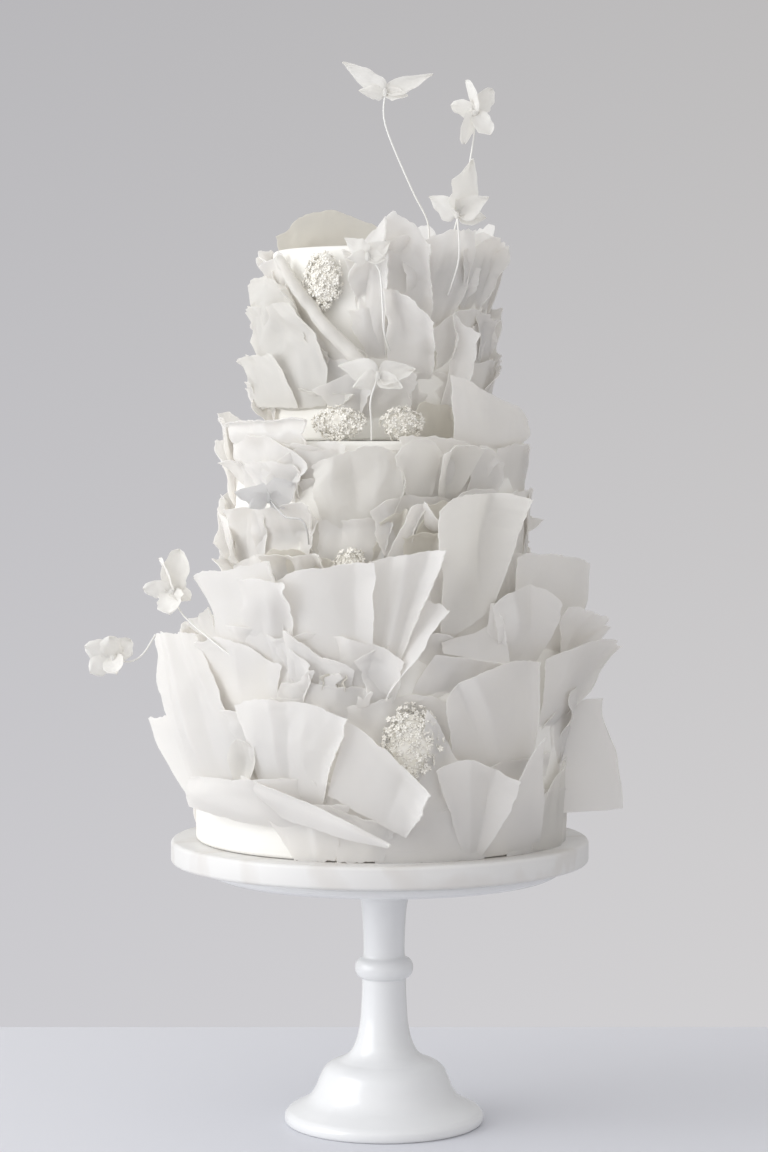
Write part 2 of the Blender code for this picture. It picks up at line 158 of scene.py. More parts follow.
FOOT_RIM = [(68.4, 9.6), (70.8, 6.8), (71.3, 3.8), (70.6, 1.2), (69.0, 0.0)]
CURVE_STEPS = 4
STAND_STEPS = 144
stand_outline = [(0.0, DISH_RIM[0][1])]
for stand_run in (DISH_RIM, DISH_UNDERSIDE, STEM_TOP, STEM_RING, STEM_FOOT, FOOT_BELL, FOOT_RIM):
    stand_outline += smooth_run(stand_run, CURVE_STEPS)
stand_outline.append((0.0, 0.0))

glaze, glaze_shader = plain_material("white_stoneware_glaze", (0.83, 0.83, 0.82), 0.22)
glaze_shader.inputs["Coat Weight"].default_value = 0.35
glaze_shader.inputs["Coat Roughness"].default_value = 0.12
glaze_place = object_place(glaze)
glaze_pool = add_node(glaze, "ShaderNodeTexNoise", glaze_place, Scale=22.0, Detail=3.0)
tint_by(glaze, glaze_pool.outputs["Fac"], (0.755, 0.757, 0.757), (0.805, 0.807, 0.81), glaze_shader)
glaze_ripple = add_node(glaze, "ShaderNodeTexNoise", glaze_place, Scale=55.0, Detail=2.0)
bumped(glaze, glaze_ripple.outputs["Fac"], 0.12, 0.0006, glaze_shader)
finish_piece("pedestal_stand", turned(stand_outline, STAND_STEPS), glaze, ("stand",))


# Cake board
# A thick round board with eased edges and faint warm veins under a white wash.
# It lies on the stand's dish, and the lowest tier rests on it.
SAME_HEIGHT = 0.00001


def round_slab(radius, bottom, top, edge, segments, rounding):
    """Upright disc on the cake's axis, with its two rims rounded."""
    bm = bmesh.new()
    half_way = Matrix.Translation((CAKE_X, 0.0, (bottom + top) / 2.0))
    bmesh.ops.create_cone(
        bm, cap_ends=True, segments=segments, radius1=radius, radius2=radius, depth=top - bottom,
        matrix=half_way
    )
    rims = [e for e in bm.edges if abs(e.verts[0].co.z - e.verts[1].co.z) < SAME_HEIGHT]
    bmesh.ops.bevel(bm, geom=rims, offset=edge, segments=rounding, affect="EDGES", profile=0.5, material=-1)
    return bm


CAKE_X = -0.003
board_low, board_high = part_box("board")
board_mesh = round_slab(
    board_high.x - CAKE_X, board_low.z, board_high.z, edge=0.0028, segments=160, rounding=5
)
washed, washed_shader = plain_material("white_washed_board", (0.74, 0.72, 0.69), 0.42)
washed_place = object_place(washed)
vein_turn = add_node(
    washed, "ShaderNodeMapping", washed_place, Rotation=(0.35, 0.55, 0.6), Scale=(1.0, 2.4, 1.0)
)
vein = add_node(
    washed, "ShaderNodeTexWave", vein_turn.outputs["Vector"],
    Scale=5.0, Distortion=7.0, Detail=4.0, Detail_Scale=1.6,
)
vein_soft = add_node(washed, "ShaderNodeMapRange", From_Min=0.62, From_Max=1.0)
link(washed, vein.outputs["Fac"], vein_soft.inputs["Value"])
tint_by(washed, vein_soft.outputs["Result"], (0.715, 0.705, 0.69), (0.665, 0.645, 0.62), washed_shader)
washed_grain = add_node(washed, "ShaderNodeTexNoise", washed_place, Scale=260.0, Detail=4.0)
bumped(washed, washed_grain.outputs["Fac"], 0.2, 0.0004, washed_shader)
finish_piece("cake_board", board_mesh, washed, ("board",))


# Iced tiers
# Three stacked rounds of cake under off-white buttercream, scraped flat, with a slightly uneven wall.
# Each rests on the tier below; the lowest one rests on the board.
BOTTOM = 0.131
MIDDLE = 0.103
TOP = 0.076
icing, icing_shader = plain_material("buttercream", (0.83, 0.81, 0.76), 0.6)
icing_place = object_place(icing)
icing_tone = add_node(icing, "ShaderNodeTexNoise", icing_place, Scale=14.0, Detail=3.0)
tint_by(icing, icing_tone.outputs["Fac"], (0.815, 0.795, 0.745), (0.86, 0.85, 0.815), icing_shader)
scrape_turn = add_node(icing, "ShaderNodeMapping", icing_place, Scale=(1.0, 1.0, 7.0))
scrape = add_node(icing, "ShaderNodeTexNoise", scrape_turn.outputs["Vector"], Scale=30.0, Detail=5.0)
bumped(icing, scrape.outputs["Fac"], 0.35, 0.0008, icing_shader)
WALL_SWAY = 0.0005
AXIS_ROOM = 0.01


def iced_tier(name, radius, bottom, top, node):
    """A round of iced cake whose wall wanders in and out by a fraction of a millimetre."""
    bm = round_slab(radius, bottom, top, edge=0.003, segments=128, rounding=4)
    bmesh.ops.triangulate(bm, faces=[f for f in bm.faces if len(f.verts) > 4])
    for vert in bm.verts:
        around = Vector((vert.co.x - CAKE_X, vert.co.y, 0.0))
        if around.length > AXIS_ROOM:
            sway = noise.noise(Vector((vert.co.x * 16.0, vert.co.y * 16.0, vert.co.z * 22.0)))
            vert.co += around.normalized() * WALL_SWAY * sway
    finish_piece(name, bm, icing, (node,))


BOTTOM_TOP = 0.346
MIDDLE_TOP = 0.4877
TOP_TOP = 0.6215
GAP = 0.0003
iced_tier("iced_tier_bottom", BOTTOM, board_high.z + GAP, BOTTOM_TOP, "tier_bottom")
iced_tier("iced_tier_middle", MIDDLE, BOTTOM_TOP + GAP, MIDDLE_TOP, "tier_middle")
iced_tier("iced_tier_top", TOP, MIDDLE_TOP + GAP, TOP_TOP, "tier_top")


# Wafer paper sheets
# Torn sheets of edible wafer paper, wetted and dried into shape, each stuck by its foot to the icing.
# They stand up and out in layers, with soft folds that fan out from the foot and torn, curled rims.
PAPER_THICKNESS = 0.0004
CRISP_ANGLE = 0.9
FEWEST_CELLS = 10
MOST_CELLS = 64


def lit_through(sheet, shader, glow, share):
    """Lets a share of the light on a thin sheet out at its far side, in a tone of its own."""
    through = add_node(sheet, "ShaderNodeBsdfTranslucent")
    through.inputs["Color"].default_value = (*glow, 1.0)
    both = add_node(sheet, "ShaderNodeMixShader", Fac=share)
    link(sheet, shader.outputs["BSDF"], both.inputs[1])
    link(sheet, through.outputs["BSDF"], both.inputs[2])
    link(sheet, both.outputs["Shader"], sheet.node_tree.nodes["Material Output"].inputs["Surface"])
    return through


def wafer_material(name, dark, light, glow):
    """Matt wafer paper, cloudy between two tones, lit through from behind."""
    sheet, shader = plain_material(name, light, 0.62)
    place = object_place(sheet)
    tone = add_node(sheet, "ShaderNodeTexNoise", place, Scale=26.0, Detail=4.0)
    tint_by(sheet, tone.outputs["Fac"], dark, light, shader)
    through = lit_through(sheet, shader, glow, 0.62)
    fibre = add_node(sheet, "ShaderNodeTexNoise", place, Scale=160.0, Detail=6.0, Roughness=0.6)
    bump = bumped(sheet, fibre.outputs["Fac"], 0.22, 0.0006, shader)
    link(sheet, bump.outputs["Normal"], through.inputs["Normal"])
    return sheet


paper = wafer_material("wafer_paper", (0.885, 0.885, 0.89), (0.925, 0.93, 0.945), (0.975, 0.955, 0.92))
# The warm paper is partly the paper's own warm tint and partly painted shade: it darkens the sheets set in
# hollows and shaded spots.
warm_and_painted_shade_paper = wafer_material("warm_wafer_paper_and_painted_shade", (0.80, 0.78, 0.735), (0.86, 0.845, 0.81), (0.89, 0.87, 0.82))
# The ivory paper is partly the paper's own cream tint and partly painted shade: it darkens sheets that face
# away from the window or sit in shade.
ivory_and_painted_shade_paper = wafer_material(
    "ivory_wafer_paper_and_painted_shade", (0.855, 0.845, 0.825), (0.895, 0.89, 0.875), (0.94, 0.925, 0.895)
)


def sheet_point(row, u, v, lift=0.0):
    """A point of a sheet: u runs left to right, v from the foot to the rim, and lift stands it off in mm."""
    tier, foot_left, foot_right, rim_right, rim_left, more = row
    spread = max(v, 0.0) ** more.get("taper", 1.0)
    foot = [a + (b - a) * u for a, b in zip(foot_left, foot_right)]
    rim = [a + (b - a) * u for a, b in zip(rim_left, rim_right)]
    angle = foot[0] + (rim[0] - foot[0]) * spread
    height = foot[1] + (rim[1] - foot[1]) * v
    out = foot[2] + (rim[2] - foot[2]) * v
    angle += 4.0 * v * (1.0 - v) * (more.get("left", 0.0) * (1.0 - u) + more.get("right", 0.0) * u)
    height += more.get("bow", 0.0) * 4.0 * u * (1.0 - u) * v
    out += more.get("belly", 0.0) * math.sin(math.pi * u) * math.sin(math.pi * v)
    if "crease" in more:
        at_foot, at_rim, ridge = more["crease"]
        at = at_foot + (at_rim - at_foot) * v
        out += ridge * max(0.0, 1.0 - abs(u - at) / 0.22) * min(1.0, v * 2.5)
    if "folds" in more:
        count, depth = more["folds"]
        out += depth * math.sin(2.0 * math.pi * count * u) * v
    turn = math.radians(angle)
    reach = tier + max(out + lift, -1.5) / 1000.0
    return Vector((CAKE_X + reach * math.sin(turn), -reach * math.cos(turn), height / 1000.0))


def chance_at(x, y, z):
    """A smooth value between about -0.6 and 0.6 that changes softly from place to place."""
    return noise.noise(Vector((x, y, z)))


def torn(t, seed, reach):
    """How far a torn edge wanders, in mm, at t along it: a slow sway with ragged teeth and a few notches."""
    slow = chance_at(t * 2.2, seed, 0.5)
    middle = chance_at(t * 7.0, seed, 5.5)
    ragged = chance_at(t * 29.0, seed, 9.5)
    notch = max(0.0, chance_at(t * 5.0, seed, 31.5) - 0.33)
    return reach * (1.3 * slow + 0.55 * middle + 0.32 * ragged - 1.2 * notch)


def crease_marks(seed, count, depth):
    """Where a sheet's creases cross its foot and its rim, and how far in mm each one stands in or out."""
    chance = random.Random(int(seed * 10.0))
    marks = []
    for i in range(count + 2):
        even = (i - 0.5) / count
        at_foot = even + chance.uniform(-0.3, 0.3) / count
        at_rim = even + chance.uniform(-0.3, 0.3) / count
        side = 1.0 if i % 2 else -1.0
        marks.append((at_foot, at_rim, side * depth * chance.uniform(0.3, 1.0)))
    return marks


def folded(across, up, marks):
    """Stand-off of a sheet that runs straight from one crease to the next."""
    places = [at_foot + (at_rim - at_foot) * up for at_foot, at_rim, _ in marks]
    for i in range(len(marks) - 1):
        if across <= places[i + 1] or i == len(marks) - 2:
            share = min(1.0, max(0.0, (across - places[i]) / (places[i + 1] - places[i])))
            return marks[i][2] + (marks[i + 1][2] - marks[i][2]) * share


def curled(share, length, radius, sweep):
    """Share of a sheet's length, and how far out in mm, of a point of it once its far edge is curled."""
    if radius < 0.2:
        return share, 0.0
    start = length - radius
    reached = share * (start + radius * sweep)
    if reached <= start:
        return reached / length, 0.0
    angle = (reached - start) / radius
    return (start + radius * math.sin(angle)) / length, radius * (1.0 - math.cos(angle))


def paper_sheet(bm, row, seed, look):
    """Adds one torn sheet to a mesh as an open grid: folded, softly cupped, ruffled towards its rims."""
    wide = 1000.0 * (sheet_point(row, 1.0, 0.75) - sheet_point(row, 0.0, 0.75)).length
    tall = 1000.0 * (sheet_point(row, 0.5, 1.0) - sheet_point(row, 0.5, 0.0)).length
    look = {**look, **row[5]}
    columns = max(FEWEST_CELLS, min(MOST_CELLS, int(wide / look["step"])))
    rows = max(FEWEST_CELLS, min(MOST_CELLS, int(tall / look["step"])))
    ragged = look["ragged"]
    round_left = look["round_left"] * (0.5 + 1.2 * abs(chance_at(seed, 1.3, 7.7)))
    round_right = look["round_right"] * (0.5 + 1.2 * abs(chance_at(seed, 4.9, 2.7)))
    depth = look["crease_depth"] * min(1.0, wide / 45.0)
    marks = look.get("marks") or crease_marks(seed, look["creases"], depth)
    grid = bmesh.ops.create_grid(bm, x_segments=columns, y_segments=rows, size=0.5)
    for vert in grid["verts"]:
        v, rim_out = curled(vert.co.y + 0.5, tall, look["rim_curl"], look["rim_sweep"])
        u, side_out = curled(vert.co.x + 0.5, wide, look["side_curl"] * min(1.0, 2.2 * v), 2.5)
        up = v * (1.0 - round_left * max(0.0, 1.0 - 2.2 * u) ** 3
                  - round_right * max(0.0, 2.2 * u - 1.2) ** 3)
        up += torn(u, seed, ragged) / tall * v ** 2
        up -= abs(torn(u, seed + 5.0, ragged)) / tall * (1.0 - v) ** 3
        grow = min(1.0, 1.7 * max(up, 0.0))
        across = u - look["wider_left"] * (1.0 - u) ** 2 + look["wider_right"] * u ** 2
        across -= torn(v, seed + 11.3, ragged) / wide * (1.0 - u) ** 3 * grow
        across += torn(v, seed + 23.7, ragged) / wide * u ** 3 * grow
        near_rim = max(abs(2.0 * u - 1.0), v)
        cup = chance_at(u * 1.4 + seed, up * 1.2, seed)
        ruffle = chance_at(u * wide / look["wave"], up * tall / look["wave"], seed + 20.0)
        crumple = 0.3 - 2.0 * abs(chance_at(u * wide / 15.0, up * tall / 22.0, seed + 80.0))
        lift = folded(u, up, marks) + look["cup"] * cup
        lift += look["ruffle"] * ruffle * near_rim ** 3 + look["crumple"] * crumple
        lift += look["rim"] * max(0.0, (up - 0.82) / 0.18) ** 2 * (0.5 + chance_at(u * 2.3, seed, 66.0))
        lift += look["right_roll"] * max(0.0, (u - 0.87) / 0.13) ** 2
        lift += look["left_roll"] * max(0.0, (0.12 - u) / 0.12) ** 2
        lift = lift * grow + rim_out + side_out
        vert.co = sheet_point(row, across, up, lift - look["sunk"] * (1.0 - v) ** 4)
    return grid["verts"]


def thick_paper(bm, thickness):
    """Gives open sheets their thickness and keeps their cut rims crisp."""
    bmesh.ops.recalc_face_normals(bm, faces=bm.faces)
    bm.normal_update()
    way = bm.verts.layers.float_vector.new("way")
    for vert in bm.verts:
        vert[way] = vert.normal
    grown = bmesh.ops.extrude_face_region(bm, geom=bm.faces, use_keep_orig=True)
    for vert in grown["geom"]:
        if isinstance(vert, bmesh.types.BMVert):
            vert.co -= vert[way] * thickness
    bm.verts.layers.float_vector.remove(way)
    bmesh.ops.recalc_face_normals(bm, faces=bm.faces)
    for edge in bm.edges:
        if len(edge.link_faces) == 2 and edge.calc_face_angle() > CRISP_ANGLE:
            edge.smooth = False


def creased(left_side, right_side, *creases):
    """Creases given one by one: at the foot, at the rim and stand-off in mm, between those of the two sides.
    """
    return ((-0.1, -0.1, left_side), *creases, (1.05, 1.05, right_side))


BROAD_LOOK = dict(
    step=1.5, ragged=2.4, round_left=0.05, round_right=0.05, wave=28.0, cup=8.0, ruffle=8.0, creases=3,
    crease_depth=2.0, crumple=0.4, rim=3.0, right_roll=3.0, left_roll=1.0, wider_left=0.08, wider_right=0.08,
    sunk=2.2, side_curl=2.2, rim_curl=0.0, rim_sweep=2.4,
)
CRUMPLED_LOOK = dict(
    BROAD_LOOK, wave=18.0, cup=7.0, ruffle=9.0, creases=4, crease_depth=1.8, ragged=3.4, crumple=1.6,
    right_roll=2.0, side_curl=1.5,
)
STRAIGHT = dict(wider_left=0, wider_right=0)
UNROLLED = dict(right_roll=0, left_roll=0)
UNCURLED = dict(side_curl=0, right_roll=0)
# Each sheet's tier, its corners at foot left, foot right, rim right and rim left (degrees from the front,
# height and stand-off in mm), and where its form differs from the look of the sheets on that tier
SHEETS = {
    "tall_left": (BOTTOM, (-49, 333, 1), (-31, 335, 1), (-33, 407, 16), (-60, 397, 12),
        dict(left=-3, folds=(1.5, 1.5), wider_right=0.16, wider_left=0)),
    "tall_mid_left": (BOTTOM, (-29, 336, 1), (-5, 325, 1), (-3, 407, 17), (-37, 387, 6),
        dict(bow=4, right_roll=1, round_right=0, ruffle=5,
            marks=creased(1, 7, (0.45, 0.5, 1.5), (0.84, 0.86, -0.5)), side_curl=0)),
    "tall_centre": (BOTTOM, (-2, 324, -1), (1, 324, 1), (15, 417, 18), (-4, 405, 3),
        dict(taper=0.7, right_roll=1, round_left=0, cup=5,
            marks=creased(1, 6, (0.36, 0.4, -2), (0.55, 0.6, 2), (0.8, 0.84, -2)))),
    "cone_centre": (BOTTOM, (3, 320, 1), (2, 317, 9), (18, 378, 18), (10, 384, 4), dict(belly=-3)),
    "rolled_right": (BOTTOM, (18.5, 352, 4), (33.8, 375, 8), (39.6, 450, 22), (15.7, 447, 19),
        dict(taper=1.3, bow=4, right_roll=0, side_curl=1, cup=1, ruffle=1, rim=1, crumple=0.3,
            wider_left=0.05, wider_right=0, marks=creased(8, 12, (0.68, 0.7, -15), (0.74, 0.75, -14)))),
    "flag_right": (BOTTOM, (41.3, 334, 1), (89.2, 336, 1), (79.1, 404, 18), (42.9, 413, 3),
        STRAIGHT | dict(bow=2, side_curl=0, cup=4, ruffle=5, round_right=0.02)),
    "cup_right": (BOTTOM, (35.2, 334, 1), (53.9, 336, 1), (52.2, 385, 16), (31.6, 384, 13),
        UNCURLED | dict(bow=6, round_left=0.12, round_right=0.12, wider_left=0,
            marks=creased(-3, 3, (0.3, 0.26, 6), (0.62, 0.62, -2)))),
    "lip_right": (BOTTOM, (17.9, 346, 9), (36.3, 338, 17), (38.2, 366, 7), (17.3, 353, 5),
        STRAIGHT | UNROLLED | dict(ruffle=1, cup=2, side_curl=0, rim=0, ragged=1.2, creases=2,
            crease_depth=1, sunk=0)),
    "wing_right": (BOTTOM, (58, 288, 1), (70, 289, 1), (90, 346, 36), (54, 343, 14), dict(bow=5)),
    "big_cup": (BOTTOM, (21.6, 268, 1), (52.4, 261, 1), (47, 339, 16), (17.5, 327, 13),
        STRAIGHT | dict(bow=3, round_left=0.16, round_right=0.03, cup=2, ruffle=2, side_curl=1,
            marks=creased(4, -1, (0.42, 0.1, 0), (0.56, 0.24, 8)))),
    "scoop_front": (BOTTOM, (26.2, 207, 1), (31, 206, 1), (37.4, 262, 19), (15.6, 270, 14),
        STRAIGHT | UNCURLED | dict(bow=7, taper=0.8, round_left=0.06, round_right=0.04, ruffle=2, cup=3,
            sunk=0.3, marks=creased(-3, 11, (0.35, 0.4, 2), (0.7, 0.76, -4)))),
    "panel_front": (BOTTOM, (3.6, 209, 1), (27.5, 207, 1), (24, 264, 5), (14.8, 307, 11),
        UNCURLED | dict(left=2, right=-3, wider_left=0.2, wider_right=0.1, ruffle=2, cup=2, sunk=0.3)),
    "edge_right": (BOTTOM, (33, 207, 1), (55, 207, 1), (47, 286, 18), (38, 256, 15),
        UNCURLED | dict(wider_right=0.05, wider_left=0.12, cup=3, ruffle=3,
            marks=creased(-4, 3, (0.14, 0.16, 2)), sunk=0.3)),
    "skirt_right": (BOTTOM, (74, 227, 1), (90, 226, 45), (82, 306, 26), (80, 305, 1),
        dict(wider_left=0.5, wider_right=0, ragged=0.5, round_right=0, ruffle=4, right_roll=0)),
    "tall_far_left": (BOTTOM, (-62, 240, 15), (-37, 246, 4), (-65.4, 356, 8), (-81, 353, 33),
        STRAIGHT | UNCURLED | dict(crease=(0.3, 0.45, 6), left=1, right=3, cup=3, ruffle=4, ragged=3,
            crumple=0.8)),
    "broad_far_left": (BOTTOM, (-65.6, 235, 12), (-37.2, 244, 0), (-36.4, 298, 0), (-89.2, 295, 35),
        UNCURLED | dict(wider_right=0.1, wider_left=0, ragged=3, cup=2, ruffle=2,
            marks=creased(0, 0, (0.3, 0.3, -7), (0.6, 0.6, -4)))),
    "swoop_left": (BOTTOM, (-62, 236, 20), (-22, 225, 2), (-26, 260, 8), (-58, 259, 22),
        dict(belly=5, wider_right=0.25, wider_left=0, ruffle=4)),
    "tongue": (BOTTOM, (-27, 234, 9), (2, 218, 21), (3, 221, 22), (-33, 259, 14),
        dict(bow=3, wider_left=0.25, wider_right=0, cup=3, ruffle=3)),
    "folded_left": (BOTTOM, (-36.8, 248, 2), (-16.6, 243, 4), (-7, 306, 18), (-42.5, 312, 11),
        STRAIGHT | dict(bow=5, side_curl=1.2, cup=3, ruffle=3.5, ragged=3.2, crumple=0.9,
            marks=creased(2, 3, (0.38, 0.35, 4), (0.5, 0.5, 0.5), (0.66, 0.64, 3)))),
    "kite_front": (BOTTOM, (-12, 248, 7), (6, 225, 10), (11, 258, 24), (-6, 300, 17),
        dict(bow=2, cup=4, ruffle=5, wider_left=0.15, marks=creased(1, 5, (0.7, 0.74, -1.5)))),
    "small_diagonal": (BOTTOM, (-26.5, 318, 1), (-10.1, 313, 1), (-7.8, 337, 9), (-24.9, 356, 8),
        UNROLLED | dict(cup=2, ruffle=3, ragged=3, side_curl=0, crumple=0.5)),
    "ledge_left": (MIDDLE, (-60, 478, 1), (-30, 478, 1), (-28, 503, 8), (-70, 500, 12),
        dict(bow=2, rim_curl=2)),
    "white_left": (MIDDLE, (-50, 450, 1), (-33, 446, 1), (-32, 475, 6), (-58, 476, 6), dict()),
    "pale_low_left": (MIDDLE, (-64, 402, 1), (-30, 400, 1), (-26, 443, 12), (-59, 441, 15), dict(left=-6)),
    "ruffle_left": (MIDDLE, (-38, 378, 1), (-20, 380, 1), (-19, 414, 22), (-41, 408, 20),
        dict(folds=(2, 3))),
    "big_centre": (MIDDLE, (-18.8, 427, 3), (2.4, 432, 3), (5.4, 480, 14), (-22.6, 474, 12),
        dict(bow=5, right=2, cup=2.5, ragged=4.5, crumple=2.2, ruffle=4, round_left=0.02, right_roll=0,
            marks=creased(-1, -2, (0.2, 0.26, 4), (0.5, 0.42, -2), (0.7, 0.75, 3)))),
    "grey_cup": (MIDDLE, (11.9, 447, 3), (18.8, 447, 3), (22.4, 480, 11), (4.1, 482, 22),
        STRAIGHT | UNCURLED | dict(bow=7, taper=0.6, cup=2, ruffle=2, crumple=0.7, ragged=2,
            round_left=0.12, round_right=0.1, creases=2, crease_depth=1)),
    "folded_cup": (MIDDLE, (22.7, 447, 3), (28.4, 447, 2), (36.9, 484, 15), (18.6, 480, 26),
        STRAIGHT | UNCURLED | dict(bow=2, taper=0.7, rim_curl=1.5, cup=1, ruffle=2, crumple=0.5, ragged=1.6,
            marks=creased(2, 3, (0.1, 0.1, 0), (0.4, 0.42, -12)))),
    "pale_right": (MIDDLE, (34.5, 446, 1), (48, 447, 1), (49, 478, 7), (39.8, 485, 6),
        dict(right=2, cup=2, ruffle=1.5, ragged=2, crumple=0.6, side_curl=0, round_right=0.25)),
    "ledge_right": (MIDDLE, (32, 481, 1), (68, 479, 1), (66, 506, 8), (30, 531, 2),
        UNCURLED | dict(bow=2, ragged=1.8, ruffle=4, cup=5)),
    "ruffle_right": (MIDDLE, (16.3, 425, 4), (26.5, 423, 4), (31.2, 442, 15), (13.4, 447, 20),
        UNCURLED | dict(bow=-14, folds=(1.5, 3), rim_curl=1.2, cup=1, ruffle=2, crumple=0.4, wider_left=0,
            ragged=1.6, creases=2, crease_depth=0.5)),
    "band_centre": (MIDDLE, (1.6, 399, 4), (12.9, 399, 4), (16.7, 444, 17), (10.1, 446, 21),
        dict(right=-4, cup=2, ruffle=2, crumple=0.5, wider_left=0.05, wider_right=0, side_curl=0,
            ragged=1.8, creases=2, crease_depth=1)),
    "top_left_big": (TOP, (-89.2, 516, 6), (-30.5, 515, 2), (-49.5, 592, 9), (-75.7, 611, 15),
        STRAIGHT | dict(left=-5, right=9, right_roll=5, round_left=0.1, cup=4, ruffle=6, crumple=2.6,
            ragged=4.5, side_curl=0, marks=creased(0, 3, (0.3, 0.42, 3), (0.55, 0.66, -3)))),
    "top_roll": (TOP, (-50, 580, 1.2), (-24, 530, 1.2), (-3, 540, 12), (-50, 612, 4),
        dict(belly=2, rim_curl=4.5, rim_sweep=4.4, cup=3, ruffle=3, rim=0, ragged=1, side_curl=0)),
    "top_low_fold": (TOP, (-89.2, 511, 6), (-26.3, 509, 1), (-14, 521, 8), (-62, 531, 6),
        dict(bow=-3, cup=2, ruffle=3, ragged=3)),
    "top_tall_left": (TOP, (-4, 540, 1), (3, 540, 1), (0, 636, 7), (-18, 618, 3), dict(bow=-8)),
    "top_tall_centre": (TOP, (5, 550, 1), (25, 550, 1), (21, 626, 12), (3, 642, 10), dict(bow=4)),
    "top_low_centre": (TOP, (7, 530, 2), (26, 530, 2), (21, 572, 18), (2, 594, 15), dict(bow=2)),
    "top_fin_right": (TOP, (27, 565, 1), (34, 565, 3), (45, 638, 14), (24, 625, 5),
        dict(right=5, taper=0.8)),
    "top_far_right": (TOP, (49, 577, 1), (62, 577, 1), (86, 630, 10), (53, 632, 3), dict()),
    "top_ribbon": (TOP, (31.7, 509, 3), (40.5, 511, 6), (42.4, 565, 17), (33.1, 576, 11),
        STRAIGHT | dict(left=3, right=2, cup=3, ruffle=5,
            marks=creased(3, 6, (0.35, 0.5, -3), (0.7, 0.75, 2)))),
}
# These sheets take the ivory paper, whose darker tone is partly their cream tint and partly painted shade on
# their shaded faces.
IVORY_AND_SHADED_SHEETS = (
    "top_left_big", "top_low_fold", "top_roll", "folded_cup", "grey_cup", "big_centre", "rolled_right"
)
SHEET_SEED = 3.7
for sheet_number, (sheet_name, sheet_row) in enumerate(SHEETS.items()):
    sheet_mesh = bmesh.new()
    sheet_look = BROAD_LOOK if sheet_row[0] == BOTTOM else CRUMPLED_LOOK
    paper_sheet(sheet_mesh, sheet_row, SHEET_SEED * sheet_number, sheet_look)
    thick_paper(sheet_mesh, PAPER_THICKNESS)
    sheet_paper = ivory_and_painted_shade_paper if sheet_name in IVORY_AND_SHADED_SHEETS else paper
    finish_piece("wafer_" + sheet_name, sheet_mesh, sheet_paper, ("sheet_" + sheet_name,))


